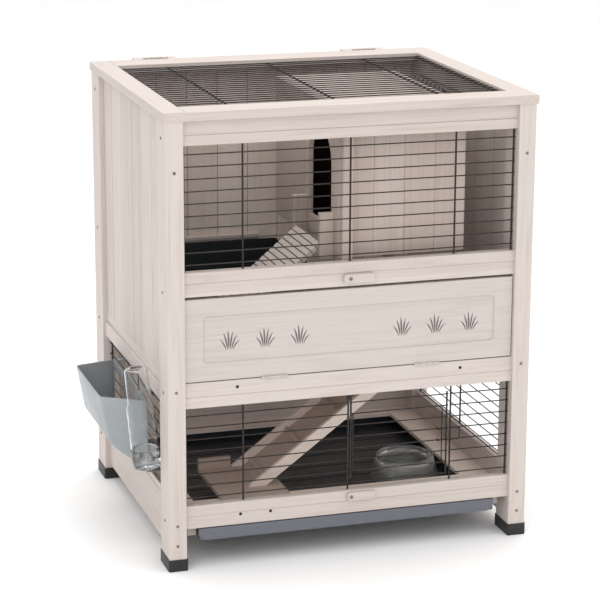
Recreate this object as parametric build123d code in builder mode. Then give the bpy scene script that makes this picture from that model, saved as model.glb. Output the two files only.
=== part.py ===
"""Two-storey rabbit hutch: wooden cabinet, hinged wire lid, drop door, wire door, trays and ramps.

Millimetres, +Z up, the front looks along -Y. Places are written in the cabinet's own coordinates, from
the front left post's outer front corner at floor level, and at() moves them to the part's frame, whose
origin is the middle of the whole part's footprint.
"""

import os
from math import atan2, cos, hypot, radians, sin

from build123d import *

# ---- cabinet ----
WIDTH = 800.0
DEPTH = 690.0
BODY_TOP = 955.0
POST_WIDTH = 38.0
POST_DEPTH = 73.0
POST_ROUND = 2.0
CAP_WALL = 2.0
CAP_FLOOR = 3.0
CAP_HEIGHT = 26.0
EDGE_ROUND = 1.5
JOINT_GAP = 0.15
INNER_LEFT = POST_WIDTH
INNER_RIGHT = WIDTH - POST_WIDTH
BACK_POST_FRONT = DEPTH - POST_DEPTH

# ---- what reaches past the cabinet ----
FEEDER_REACH = 94.0
LID_OVERHANG = 4.0
LID_FRONT = 2.0
HINGE_BLOCK_BACK = 716.0
X0 = (FEEDER_REACH - WIDTH - LID_OVERHANG) / 2
Y0 = (LID_FRONT - HINGE_BLOCK_BACK) / 2

# ---- front rails ----
RAIL_FRONT = 10.0
WINDOW_FRONT = 9.0
RAIL_BACK = 38.0
WINDOW_BACK = 31.0
SILL_TOP = 405.5
DOOR_HEAD_BOTTOM = 588.5
UPPER_SILL = (617.0, 640.0)
UPPER_HEAD = (903.0, 924.5)
LOWER_SILL = (115.0, 138.0)
LOWER_HEAD = (351.0, 374.0)
BOTTOM_RAIL = (87.5, 115.0)

# ---- wires ----
THIN_WIRE = 2.6
THICK_WIRE = 4.0
WIRE_PITCH = 25.5
THIN_Y = 17.5
THICK_Y = 20.9
GROOVE_Y = (18.4, 23.4)
GROOVE_DEPTH = 4.5
WIRE_SEAT = 4.0
UPRIGHT_WIRE_X = (42.0, 166.0, 397.5, 629.0, 758.0)
UPPER_WIRE_Z = [654.5 + WIRE_PITCH * i for i in range(10)]
LOWER_WIRE_Z = [153.5 + WIRE_PITCH * i for i in range(8)]
GRILLE_ENDS = (40.0, 760.0)
SIDE_THIN_X = 16.5
SIDE_THICK_X = 19.9
SIDE_GROOVE_X = (17.4, 22.4)
SIDE_WIRE_Y = (80.0, 347.0, 610.0)

# ---- wire door in the lower window ----
DOOR_AXIS_X = 397.5
FIXED_WIRES_LEFT_END = 394.0
FIXED_WIRES_RIGHT_START = 627.5
DOOR_WIRES = (404.5, 622.5)
DOOR_STILES = ((403.5, 163.0, 345.0), (620.5, 151.0, 337.0))
DOOR_BRACES = ((408.5, 178.0, 305.0), (610.0, 180.0, 303.0))
BRACE_Y = THIN_Y + THIN_WIRE + 0.1
RING_ARM = (400.0, 403.5)
RING_ARM_Y = (THICK_Y - 1.2, THICK_Y + 1.2)
RING_BORE = 2.08
RING_OUTER = 3.8
RING_HEIGHT = 5.0
RING_Z = (166.0, 342.0)
LATCH_Z = (LOWER_WIRE_Z[3], LOWER_WIRE_Z[4])
LATCH_RING_X = 600.0
LATCH_REACH_X = 648.5
LATCH_Y = 14.5
LATCH_WIRE = 2.6
LATCH_RING_RADIUS = 2.6
LATCH_RING_WIRE = 1.0
LATCH_CORNER = 5.0

# ---- drop door ----
DOOR_X = (40.0, 760.0)
DOOR_Y = (10.0, 28.0)
DOOR_Z = (407.5, 583.0)
RECESS_X = (80.0, 720.0)
RECESS_Z = (445.5, 544.5)
RECESS_DEPTH = 4.0
RECESS_CORNER = 9.0
RECESS_CHAMFER = 2.2
TUFT_Z = 470.0
TUFT_X = (-265.0, -188.0, -113.0, 113.0, 188.0, 265.0)
TUFT_DEPTH = 1.2
TUFT_BLADES = ((-7, -14, 24, 3.4), (-4, -9, 38, 3.8), (-1, -2, 44, 4.0), (2, 6, 40, 3.8), (5, 12, 32, 3.6),
               (8, 15, 21, 3.2))
HINGE_X = (231.0, 569.0)

# ---- butt hinges, about their own pin ----
HINGE_LENGTH = 58.0
MIDDLE_KNUCKLE = 21.0
KNUCKLE_GAP = 0.5
KNUCKLE_RADIUS = 2.3
PIN_RADIUS = 1.0
PIN_BORE = 1.08
LEAF_NEAR = 2.6
LEAF_REACH = 20.4
LEAF_INNER = 0.1
LEAF_OUTER = 1.0
MOVING_LEAF_SETBACK = 0.5
DOOR_PIN_Y = 7.4
DOOR_PIN_Z = 406.5
LID_PIN_Y = 689.0
LID_PIN_Z = 976.3

# ---- lid ----
LID_BOTTOM = 955.0
LID_TOP = 974.0
LID_BACK = 688.0
LID_SIDE_IN = 42.0
LID_FRONT_BOARD_BACK = 65.0
LID_BACK_BOARD_FRONT = 614.0
LID_WIRE_Z = 966.6
LID_BAR_Z = 963.2
LID_GROOVE_Z = (961.0, 968.0)
LID_GROOVE_END = 4.5
LID_BAR_GROOVE_Z = (961.0, 965.5)
LID_LOOP_CORNER = 4.0
LID_WIRE_Y = [75.0 + 25.1 * i for i in range(22)]
LID_BAR_X = (46.0, 161.5, 393.5, 625.5, 754.0)
LID_LOOP_X = (636.0, 646.0)
LID_LOOP_Y = (125.0, 330.0)
HINGE_BLOCK_X = ((101.0, 199.0), (602.0, 701.0))

# ---- fasteners ----
HEAD_RADIUS = 3.3
HEAD_HEIGHT = 1.3
SHANK_RADIUS = 1.9
SHANK_LENGTH = 18.0
PILOT_RADIUS = 1.95
SLOT_LENGTH = 4.2
SLOT_WIDTH = 0.9
SLOT_DEPTH = 0.8
SCREW_FRONT_X = {"left": 18.0, "right": 781.0}
SCREW_FRONT_Z = (56.0, 100.0, 391.0, 851.0)
SCREW_SIDE_Z = (103.0, 383.0, 597.0, 917.0)
PLUG_RADIUS = 3.5
PLUG_HOLE = 3.55
PLUG_LENGTH = 8.0
PLUG_CROWN = 0.8
SILL_PLUGS = ((151.0, 390.5), (645.0, 390.5))
BOTTOM_PLUGS = ((157.0, 110.0), (223.0, 110.0))

# ---- turn-buttons ----
BUTTON_WIDTH = 18.5
BUTTON_Y = (0.6, 8.6)
BUTTON_CORNER = 3.5
BUTTON_BORE = 2.08
PIVOT_RADIUS = 2.0
PIVOT_HOLE = 2.04
PIVOT_HEAD_RADIUS = 3.6
PIVOT_HEAD = 2.0
PIVOT_LENGTH = 24.0
UPPER_PIVOT = (394.0, 606.0)
LOWER_PIVOT = (400.0, 126.0)
UPPER_BUTTON = (-14.0, 53.0)
LOWER_BUTTON = (-8.0, 55.0)

# ---- side and back walls ----
PANEL_X = (11.5, 23.5)
PANEL_BOTTOM = 403.0
SIDE_BOARD_EDGES = (POST_DEPTH, 172.0, 281.0, 345.0, 447.0, 542.0, BACK_POST_FRONT)
BOARD_CHAMFER = 1.6
BASE_BOARD_Z = (33.0, 135.0)
SIDE_WINDOW_Z = (149.0, 349.0)
WINDOW_HEAD_TOP = 382.0
TOP_RAIL_Z = (925.0, BODY_TOP)
BACK_PANEL_Y = (664.0, 676.0)
BACK_BOARD_WIDTH = 72.0
BACK_BOARD_CHAMFER = 1.0
TRAY_LEDGE_Y = (652.0, 664.0)
TRAY_LEDGE_Z = (546.0, 558.0)

# ---- floors, trays and ramps ----
LEDGE_Z = (89.0, 97.0)
LEDGE_OPENING_X = (91.0, 706.0)
LEDGE_OPENING_Y = (151.0, 620.0)
LEDGE_X = (31.0, 769.0)
INNER_BACK = 662.0
FLOOR_X = (30.0, 770.0)
FLOOR_Z = (396.0, 406.0)
BATTEN_Y = ((120.0, 146.0), (365.0, 391.0), (600.0, 626.0))
BATTEN_Z = (383.0, 396.0)
POST_NOTCH = 10.0
HATCH_X = (430.0, 640.0)
HATCH_Y = (172.0, 340.0)
UPPER_TRAY_X = (40.0, 424.0)
UPPER_TRAY_Y = (30.0, 651.0)
UPPER_TRAY_STEPS = ((406.5, 484.0, 8.0), (484.0, 516.0, 4.0), (516.0, 545.5, 0.0))
UPPER_TRAY_CORNER = 5.0
TRAY_WALL = 3.0
ENTRY_X = (404.0, 425.0)
ENTRY_Y = (165.0, 340.0)
ENTRY_Z = 455.0
LITTER_BODY_X = (70.0, 730.0)
LITTER_BODY_Y = (14.0, 650.0)
LITTER_Z = (59.0, 85.5)
LITTER_FLOOR = 66.0
LITTER_LIP_X = (66.0, 730.0)
LITTER_LIP_Y = (9.5, 16.0)
LITTER_LIP_CORNER = 17.0
LITTER_FLANGE_X = (62.0, 738.0)
LITTER_FLANGE_Z = (83.0, 85.5)
LITTER_FLANGE_Y = (42.0, 650.0)
LITTER_GROOVE_X = (86.0, 714.0)
LITTER_GROOVE_Y = [(66.0 + 77.0 * i, 72.0 + 77.0 * i) for i in range(8)]
LITTER_GROOVE_DEPTH = 2.5
RUNNER_X = (49.0, 68.0)
RUNNER_GROOVE_X = 61.0
RUNNER_GROOVE_Z = (82.0, 86.5)
RUNNER_Y = (40.0, 655.0)
RUNNER_Z = (62.0, 89.0)
RAMP_FOOT = (250.0, 105.0)
RAMP_TOP = (634.0, 391.0)
RAMP_TAIL = 20.0
RAMP_Y = (180.0, 332.0)
RAMP_BOARD = 8.0
RAMP_RAIL = 10.0
RAMP_RAIL_RISE = 16.0
RAMP_BATTEN_X = [22.0 + 107.0 * i for i in range(5)]
RAMP_BATTEN_WIDTH = 9.0
RAMP_BATTEN_HEIGHT = 6.0
RAMP_BATTEN_CHAMFER = 1.5
LANDING_X = (148.0, 300.0)
LANDING_Y = (90.0, 332.0)
LANDING_TOP = 105.0
LANDING_UPSTAND_TOP = 129.0
LANDING_UPSTAND_END = 222.0

# ---- nest box ----
NEST_X = (385.0, 667.0)
NEST_Y = (62.0, 515.0)
NEST_Z = (637.0, 951.0)
NEST_BOARD = 10.0
ARCH_Y = (110.0, 267.0)
ARCH_SILL = 690.0
ARCH_SHOULDER = 130.0
NEST_BOARD_WIDTH = 68.0
NEST_FLOOR = 8.0
NEST_POST_X = (387.0, 410.0)
NEST_LEG_X = ((428.0, 448.0), (640.0, 660.0))
NEST_LEG_Y = (480.0, 505.0)
CHEEK_X = (354.0, 385.0)
CHEEK_Z = (632.0, 728.0)
CHEEK_Y = ((89.0, 104.0), (276.0, 291.0))
SLAT_TOP = (361.0, 665.0)
SLAT_FOOT = (70.0, 421.0)
SLAT_RAMP_Y = (106.0, 274.0)
SLAT_THICKNESS = 10.0
SLAT_PITCH = 14.0
SLAT_GROOVE = 2.4

# ---- feeder, bottle, bowl ----
FEEDER_INNER_X = -3.0
FEEDER_INNER_Y = (168.0, 495.0)
FEEDER_OUTER_Y = (224.0, 474.0)
FEEDER_RIM = 326.0
FEEDER_FRONT = ((-86.5, 301.0), (-80.0, 277.0), (-74.0, 254.0), (-68.0, 235.0),
                (-60.5, 220.0), (-51.0, 207.0), (-39.0, 196.0), (-25.0, 187.0))
FEEDER_FOOT_Z = 178.0
FEEDER_CORNER = 9.0
FEEDER_WALL = 2.5
FEEDER_SLOT_Y = ((190.0, 274.0), (290.0, 374.0), (390.0, 474.0))
FEEDER_SLOT_Z = (200.0, 312.0)
HOOK_Y = (208.0, 452.0)
HOOK_WIDTH = 16.0
HOOK_TOP = 336.5
HOOK_THICKNESS = 2.3
HOOK_LIP_X = (18.6, 20.9)
HOOK_LIP_BOTTOM = 322.0
BOTTLE_Y = 105.0
BOTTLE_FOOT = (-21.0, 200.0)
BOTTLE_LEAN = 5.7
BOTTLE_RADIUS = 30.0
BOTTLE_TOP_RADIUS = 25.0
BOTTLE_LENGTH = 221.0
BOTTLE_WALL = 1.6
BOTTLE_SHOULDER = 137.0
BOTTLE_NECK_RADIUS = 28.0
BOTTLE_CAP_LENGTH = 44.0
BOTTLE_CAP_RADIUS = 30.6
BOTTLE_CAP_FLOOR = 19.8
SPOUT_TOP = 199.6
SPOUT_Z = 191.8
SPOUT_RADIUS = 3.6
SPOUT_BEND = 4.5
SPOUT_TIP_X = 46.0
BOWL_X = 614.0
BOWL_Y = 262.0
BOWL_BASE_Z = 66.3
BOWL_BASE_RADIUS = 78.0
BOWL_TOP_RADIUS = 64.0
BOWL_HEIGHT = 52.0
BOWL_WALL = 3.0
BOWL_SKIRT = 2.4
BOWL_FLOOR = 4.0

STANDING = (Align.CENTER, Align.CENTER, Align.MIN)
HANGING = (Align.CENTER, Align.CENTER, Align.MAX)
GRAIN = {
    "x": ((1, 0, 0), (0, 1, 0)),
    "y": ((0, 1, 0), (0, 0, 1)),
    "z": ((0, 0, 1), (1, 0, 0)),
}
SIDES = ("left", "right")


def at(x, y, z):
    """A place in the cabinet, in the part's frame."""
    return (X0 + x, Y0 + y, z)


def across(side, span):
    """A span along x on the left side, or its mirror image on the right."""
    return span if side == "left" else (WIDTH - span[1], WIDTH - span[0])


def keep(builder, name):
    """Label a finished piece and write its STEP file."""
    builder.part.label = name
    export_step(builder.part, f"parts/{name}.step")


def front_plane(x, y, z):
    """A plane that faces the front, with its x along +X and its y up."""
    return Plane(origin=at(x, y, z), x_dir=(1, 0, 0), z_dir=(0, -1, 0))


def side_plane(x, y, z, outward):
    """A plane that faces along outward times X, for screws in the posts' side faces."""
    return Plane(origin=at(x, y, z), x_dir=(0, outward, 0), z_dir=(outward, 0, 0))


def board(x_span, y_span, z_span, along="x", rounding=EDGE_ROUND):
    """A straight board whose long edges are rounded."""
    spans = {"x": x_span, "y": y_span, "z": z_span}
    direction, first = GRAIN[along]
    middle = {axis: (span[0] + span[1]) / 2 for axis, span in spans.items()}
    middle[along] = spans[along][0]
    first_axis = "xyz"[first.index(1)]
    other_axis = next(axis for axis in "xyz" if axis not in (along, first_axis))
    sizes = {axis: span[1] - span[0] for axis, span in spans.items()}
    start = Plane(origin=at(middle["x"], middle["y"], middle["z"]), x_dir=first, z_dir=direction)
    with BuildSketch(start) as section:
        RectangleRounded(sizes[first_axis], sizes[other_axis], rounding)
    extrude(section.sketch, amount=sizes[along])


def block(x_span, y_span, z_span, mode=Mode.ADD):
    """A square-edged box between three spans."""
    middle = [(span[0] + span[1]) / 2 for span in (x_span, y_span, z_span)]
    with Locations(at(*middle)):
        Box(x_span[1] - x_span[0], y_span[1] - y_span[0], z_span[1] - z_span[0], mode=mode)


def inner_span(span, inset):
    """A span with the inset taken from each end."""
    return (span[0] + inset, span[1] - inset)


def shrunk(span):
    """A span with half of the hairline joint taken from each end, so that neighbours stay separate."""
    return inner_span(span, JOINT_GAP)


def cut(x_span, y_span, z_span):
    """Take a box out of the piece."""
    block(x_span, y_span, z_span, mode=Mode.SUBTRACT)


def wires_along_x(x_span, places, diameter):
    """Round wires along X; places holds the (y, z) of each."""
    middle = (x_span[0] + x_span[1]) / 2
    with Locations(*[at(middle, y, z) for y, z in places]):
        Cylinder(diameter / 2, x_span[1] - x_span[0], rotation=(0, 90, 0))


def wires_along_y(y_span, places, diameter):
    """Round wires along Y; places holds the (x, z) of each."""
    middle = (y_span[0] + y_span[1]) / 2
    with Locations(*[at(x, middle, z) for x, z in places]):
        Cylinder(diameter / 2, y_span[1] - y_span[0], rotation=(90, 0, 0))


def wires_along_z(z_span, places, diameter):
    """Round wires along Z; places holds the (x, y) of each."""
    middle = (z_span[0] + z_span[1]) / 2
    with Locations(*[at(x, y, middle) for x, y in places]):
        Cylinder(diameter / 2, z_span[1] - z_span[0])


def drill(planes, radius, depth):
    """Blind round holes into the piece, from each plane against its normal."""
    with Locations(*planes):
        Cylinder(radius, depth, align=HANGING, mode=Mode.SUBTRACT)


def pan_screws(planes, head_radius, head, shank_radius, shank):
    """Cross-slotted screws whose heads stand on the planes."""
    with Locations(*planes):
        Cylinder(head_radius, head / 2, align=STANDING)
        Cylinder(shank_radius, shank, align=HANGING)
    with Locations(*[plane.offset(head / 2) for plane in planes]):
        Cone(head_radius, 0.72 * head_radius, head / 2, align=STANDING)
    with Locations(*[plane.offset(head) for plane in planes]):
        Box(SLOT_LENGTH, SLOT_WIDTH, 2 * SLOT_DEPTH, mode=Mode.SUBTRACT)
        Box(SLOT_WIDTH, SLOT_LENGTH, 2 * SLOT_DEPTH, mode=Mode.SUBTRACT)


# ---------------------------------------------------------------- posts and feet

def post_screw_planes():
    """Screw places by post: four in each front face and four in each outer side face."""
    back_y = DEPTH - POST_DEPTH / 2
    planes = {}
    for side, face_x, outward in (("left", 0.0, -1), ("right", WIDTH, 1)):
        planes["front", side] = [front_plane(SCREW_FRONT_X[side], 0, z) for z in SCREW_FRONT_Z]
        planes["front", side] += [side_plane(face_x, POST_DEPTH / 2, z, outward) for z in SCREW_SIDE_Z]
        planes["back", side] = [side_plane(face_x, back_y, z, outward) for z in SCREW_SIDE_Z]
    return planes


def make_posts():
    """Four corner posts, drilled for their screws."""
    for (end, side), planes in post_screw_planes().items():
        y_span = (0, POST_DEPTH) if end == "front" else (BACK_POST_FRONT, DEPTH)
        with BuildPart() as post:
            x_span = across(side, (0, POST_WIDTH))
            board(x_span, y_span, (CAP_FLOOR, BODY_TOP), along="z", rounding=POST_ROUND)
            drill(planes, PILOT_RADIUS, SHANK_LENGTH + 1)
        keep(post, f"post_{end}_{side}")


def make_foot_caps():
    """Cups under the posts, which stand on the cups' floors."""
    with BuildPart() as foot_caps:
        centres = [(x, y) for x in (POST_WIDTH / 2, WIDTH - POST_WIDTH / 2)
                   for y in (POST_DEPTH / 2, DEPTH - POST_DEPTH / 2)]
        with BuildSketch(Plane.XY):
            with Locations(*[at(x, y, 0)[:2] for x, y in centres]):
                RectangleRounded(POST_WIDTH + 2 * CAP_WALL, POST_DEPTH + 2 * CAP_WALL, POST_ROUND + CAP_WALL)
        extrude(amount=CAP_HEIGHT)
        chamfer(foot_caps.edges().group_by(Axis.Z)[0], 0.8)
        with BuildSketch(Plane.XY.offset(CAP_FLOOR)):
            with Locations(*[at(x, y, 0)[:2] for x, y in centres]):
                RectangleRounded(POST_WIDTH, POST_DEPTH, POST_ROUND)
        extrude(amount=CAP_HEIGHT, mode=Mode.SUBTRACT)
    keep(foot_caps, "foot_caps")


# ---------------------------------------------------------------- front of the cabinet

def make_plain_rails():
    """The four plain rails between the front posts, drilled for the button's pivot and the plugs."""
    with BuildPart() as front_top_rail:
        board((INNER_LEFT, INNER_RIGHT), (RAIL_FRONT, RAIL_BACK), (UPPER_HEAD[1], BODY_TOP))
    keep(front_top_rail, "front_top_rail")

    with BuildPart() as door_head_rail:
        board((INNER_LEFT, INNER_RIGHT), (RAIL_FRONT, RAIL_BACK), (DOOR_HEAD_BOTTOM, UPPER_SILL[0]))
        drill([front_plane(UPPER_PIVOT[0], RAIL_FRONT, UPPER_PIVOT[1])], PIVOT_HOLE, PIVOT_LENGTH)
    keep(door_head_rail, "door_head_rail")

    with BuildPart() as door_sill_rail:
        board((INNER_LEFT, INNER_RIGHT), (RAIL_FRONT, RAIL_BACK), (LOWER_HEAD[1], SILL_TOP))
        drill([front_plane(x, RAIL_FRONT, z) for x, z in SILL_PLUGS], PLUG_HOLE, PLUG_LENGTH)
    keep(door_sill_rail, "door_sill_rail")

    with BuildPart() as front_bottom_rail:
        board((INNER_LEFT, INNER_RIGHT), (RAIL_FRONT, RAIL_BACK), BOTTOM_RAIL)
        drill([front_plane(x, RAIL_FRONT, z) for x, z in BOTTOM_PLUGS], PLUG_HOLE, PLUG_LENGTH)
    keep(front_bottom_rail, "front_bottom_rail")


def make_window_rails():
    """Rails above and below each window, grooved for the ends of the thick wires."""
    rails = {
        "upper_window_head": (UPPER_HEAD, UPPER_HEAD[0]),
        "upper_window_sill": (UPPER_SILL, UPPER_SILL[1] - GROOVE_DEPTH),
        "lower_window_head": (LOWER_HEAD, LOWER_HEAD[0]),
        "lower_window_sill": (LOWER_SILL, LOWER_SILL[1] - GROOVE_DEPTH),
    }
    for name, (z_span, groove_bottom) in rails.items():
        with BuildPart() as rail:
            board((INNER_LEFT, INNER_RIGHT), (WINDOW_FRONT, WINDOW_BACK), z_span)
            cut((INNER_LEFT, INNER_RIGHT), GROOVE_Y, (groove_bottom, groove_bottom + GROOVE_DEPTH))
            if name == "lower_window_sill":
                pivot = front_plane(LOWER_PIVOT[0], WINDOW_FRONT, LOWER_PIVOT[1])
                drill([pivot], PIVOT_HOLE, WINDOW_BACK - WINDOW_FRONT)
        keep(rail, name)


def make_front_grilles():
    """Wires of both windows; the lower window's thin wires leave a gap for the wire door."""
    with BuildPart() as upper_front_grille:
        z_span = (UPPER_SILL[1] - WIRE_SEAT, UPPER_HEAD[0] + WIRE_SEAT)
        wires_along_z(z_span, [(x, THICK_Y) for x in UPRIGHT_WIRE_X], THICK_WIRE)
        wires_along_x(GRILLE_ENDS, [(THIN_Y, z) for z in UPPER_WIRE_Z], THIN_WIRE)
    keep(upper_front_grille, "upper_front_grille")

    with BuildPart() as lower_front_grille:
        z_span = (LOWER_SILL[1] - WIRE_SEAT, LOWER_HEAD[0] + WIRE_SEAT)
        levels = [(THIN_Y, z) for z in LOWER_WIRE_Z]
        wires_along_z(z_span, [(x, THICK_Y) for x in UPRIGHT_WIRE_X], THICK_WIRE)
        wires_along_x((GRILLE_ENDS[0], FIXED_WIRES_LEFT_END), levels, THIN_WIRE)
        wires_along_x((FIXED_WIRES_RIGHT_START, GRILLE_ENDS[1]), levels, THIN_WIRE)
    keep(lower_front_grille, "lower_front_grille")


def make_wire_door():
    """The wire door, with two bored rings that turn on the lower window's middle upright."""
    with BuildPart() as wire_door:
        wires_along_x(DOOR_WIRES, [(THIN_Y, z) for z in LOWER_WIRE_Z], THIN_WIRE)
        for x, low, high in DOOR_STILES:
            wires_along_z((low, high), [(x, THICK_Y)], THICK_WIRE)
        for x, low, high in DOOR_BRACES:
            wires_along_z((low, high), [(x, BRACE_Y)], THIN_WIRE)
        for z in RING_Z:
            block(RING_ARM, RING_ARM_Y, (z - RING_HEIGHT / 2, z + RING_HEIGHT / 2))
        with Locations(*[at(DOOR_AXIS_X, THICK_Y, z) for z in RING_Z]):
            Cylinder(RING_OUTER, RING_HEIGHT)
            Cylinder(RING_BORE, RING_HEIGHT, mode=Mode.SUBTRACT)
    keep(wire_door, "wire_door")


def make_wire_door_latch():
    """A bow of wire with an eye round each of two door wires, so that it slides along them."""
    low, high = LATCH_Z
    with BuildPart() as wire_door_latch:
        corners = [at(x, LATCH_Y, z) for x, z in (
            (LATCH_RING_X, low), (LATCH_REACH_X, low), (LATCH_REACH_X, high), (LATCH_RING_X, high))]
        with BuildLine() as bow:
            FilletPolyline(*corners, radius=LATCH_CORNER)
        with BuildSketch(Plane(origin=corners[0], z_dir=(1, 0, 0))):
            Circle(LATCH_WIRE / 2)
        sweep(path=bow.line)
        with Locations(*[at(LATCH_RING_X, THIN_Y, z) for z in LATCH_Z]):
            Torus(LATCH_RING_RADIUS, LATCH_RING_WIRE, rotation=(0, 90, 0))
    keep(wire_door_latch, "wire_door_latch")


# ---------------------------------------------------------------- drop door, hinges, turn-buttons

def grass_blade(base_x, lean, height, width):
    """One curved blade: two arcs from a point at the ground to a point at the tip."""
    tip = (base_x + lean, height)
    bulge = 0.35 * lean
    left = (base_x + bulge - width / 2, 0.55 * height)
    right = (base_x + bulge + width / 2, 0.55 * height)
    with BuildLine() as blade:
        ThreePointArc((base_x, 0), left, tip)
        ThreePointArc(tip, right, (base_x, 0))
    make_face(blade.edges())


def make_drop_door():
    """The drop door: a board with a sunk, bevelled field and cut tufts of grass."""
    face_z = (DOOR_Z[0] + DOOR_Z[1]) / 2
    with BuildPart() as drop_door:
        board(DOOR_X, DOOR_Y, DOOR_Z)
        with BuildSketch(front_plane(WIDTH / 2, DOOR_Y[0], (RECESS_Z[0] + RECESS_Z[1]) / 2)):
            RectangleRounded(RECESS_X[1] - RECESS_X[0], RECESS_Z[1] - RECESS_Z[0], RECESS_CORNER)
        extrude(amount=-RECESS_DEPTH, mode=Mode.SUBTRACT)
        half_width = (RECESS_X[1] - RECESS_X[0]) / 2 + 1
        half_height = (DOOR_Z[1] - DOOR_Z[0]) / 3
        rim = drop_door.faces().filter_by(Axis.Y).group_by(Axis.Y)[0].edges()
        inner_rim = rim.filter_by(lambda edge: abs(edge.center().Z - face_z) < half_height
                                  and abs(edge.center().X - at(WIDTH / 2, 0, 0)[0]) < half_width)
        chamfer(inner_rim, RECESS_CHAMFER)
        with BuildSketch(front_plane(WIDTH / 2, DOOR_Y[0] + RECESS_DEPTH, TUFT_Z)):
            for tuft_x in TUFT_X:
                for base, lean, height, width in TUFT_BLADES:
                    grass_blade(tuft_x + base, lean, height, width)
        extrude(amount=-TUFT_DEPTH, mode=Mode.SUBTRACT)
    keep(drop_door, "drop_door")


def make_turn_button(name, pivot, reach):
    """A turn-button that lies along X at rest; reach holds its ends from the pivot."""
    with BuildPart() as button:
        with BuildSketch(front_plane(pivot[0], BUTTON_Y[1], pivot[1])) as outline:
            with Locations(((reach[0] + reach[1]) / 2, 0)):
                Rectangle(reach[1] - reach[0], BUTTON_WIDTH)
            chamfer(outline.vertices(), BUTTON_CORNER)
        extrude(amount=BUTTON_Y[1] - BUTTON_Y[0])
        chamfer(button.faces().sort_by(Axis.Y)[0].edges(), 0.8)
        with Locations(front_plane(pivot[0], BUTTON_Y[0], pivot[1])):
            Cylinder(BUTTON_BORE, 3 * BUTTON_Y[1], mode=Mode.SUBTRACT)
    keep(button, name)


def make_fasteners():
    """Post screws, the buttons' pivot screws, and the plugs in the front rails."""
    planes = [plane for group in post_screw_planes().values() for plane in group]
    with BuildPart() as cabinet_screws:
        pan_screws(planes, HEAD_RADIUS, HEAD_HEIGHT, SHANK_RADIUS, SHANK_LENGTH)
    keep(cabinet_screws, "cabinet_screws")

    with BuildPart() as turn_button_screws:
        pivots = [front_plane(x, BUTTON_Y[0] - 0.2, z) for x, z in (UPPER_PIVOT, LOWER_PIVOT)]
        pan_screws(pivots, PIVOT_HEAD_RADIUS, PIVOT_HEAD, PIVOT_RADIUS, PIVOT_LENGTH)
    keep(turn_button_screws, "turn_button_screws")

    with BuildPart() as screw_plugs:
        with Locations(*[front_plane(x, RAIL_FRONT, z) for x, z in SILL_PLUGS + BOTTOM_PLUGS]):
            Cylinder(PLUG_RADIUS, PLUG_LENGTH - 0.5, align=HANGING)
            Cone(PLUG_RADIUS, PLUG_RADIUS - 1.0, PLUG_CROWN, align=STANDING)
    keep(screw_plugs, "screw_plugs")


def hinge_leaves(name, planes, moving):
    """One leaf of each hinge. In a plane, x runs from the pin, y to the moving side, z along the pin."""
    near = LEAF_NEAR + (MOVING_LEAF_SETBACK if moving else 0)
    side = 1 if moving else -1
    thickness = LEAF_OUTER - LEAF_INNER
    outer_length = (HINGE_LENGTH - MIDDLE_KNUCKLE) / 2 - KNUCKLE_GAP
    outer_middle = (HINGE_LENGTH - outer_length) / 2
    outer = [(z, outer_length) for z in (-outer_middle, outer_middle)]
    knuckles = [(0.0, MIDDLE_KNUCKLE)] if moving else outer
    leaf_y = side * (LEAF_INNER + LEAF_OUTER) / 2
    with BuildPart(*planes) as leaves:
        with Locations(((near + LEAF_REACH) / 2, leaf_y, 0)):
            Box(LEAF_REACH - near, thickness, HINGE_LENGTH)
        for middle, length in knuckles:
            with Locations((near / 2, leaf_y, middle)):
                Box(near, thickness, length)
            with Locations((0, 0, middle)):
                Cylinder(KNUCKLE_RADIUS, length)
        if moving:
            Cylinder(PIN_BORE, MIDDLE_KNUCKLE, mode=Mode.SUBTRACT)
        else:
            Cylinder(PIN_RADIUS, HINGE_LENGTH)
    keep(leaves, name)


def make_hinges():
    """Two butt hinges under the drop door and two behind the lid."""
    door_planes = [Plane(origin=at(x, DOOR_PIN_Y, DOOR_PIN_Z), x_dir=(0, 1, 0), z_dir=(1, 0, 0))
                   for x in HINGE_X]
    lid_hinge_x = [(low + high) / 2 for low, high in HINGE_BLOCK_X]
    lid_planes = [Plane(origin=at(x, LID_PIN_Y, LID_PIN_Z), x_dir=(0, 0, -1), z_dir=(-1, 0, 0))
                  for x in lid_hinge_x]
    hinge_leaves("hinge_fixed_leaves", door_planes + lid_planes, moving=False)
    hinge_leaves("door_hinge_moving_leaves", door_planes, moving=True)
    hinge_leaves("lid_hinge_moving_leaves", lid_planes, moving=True)


# ---------------------------------------------------------------- lid

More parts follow.
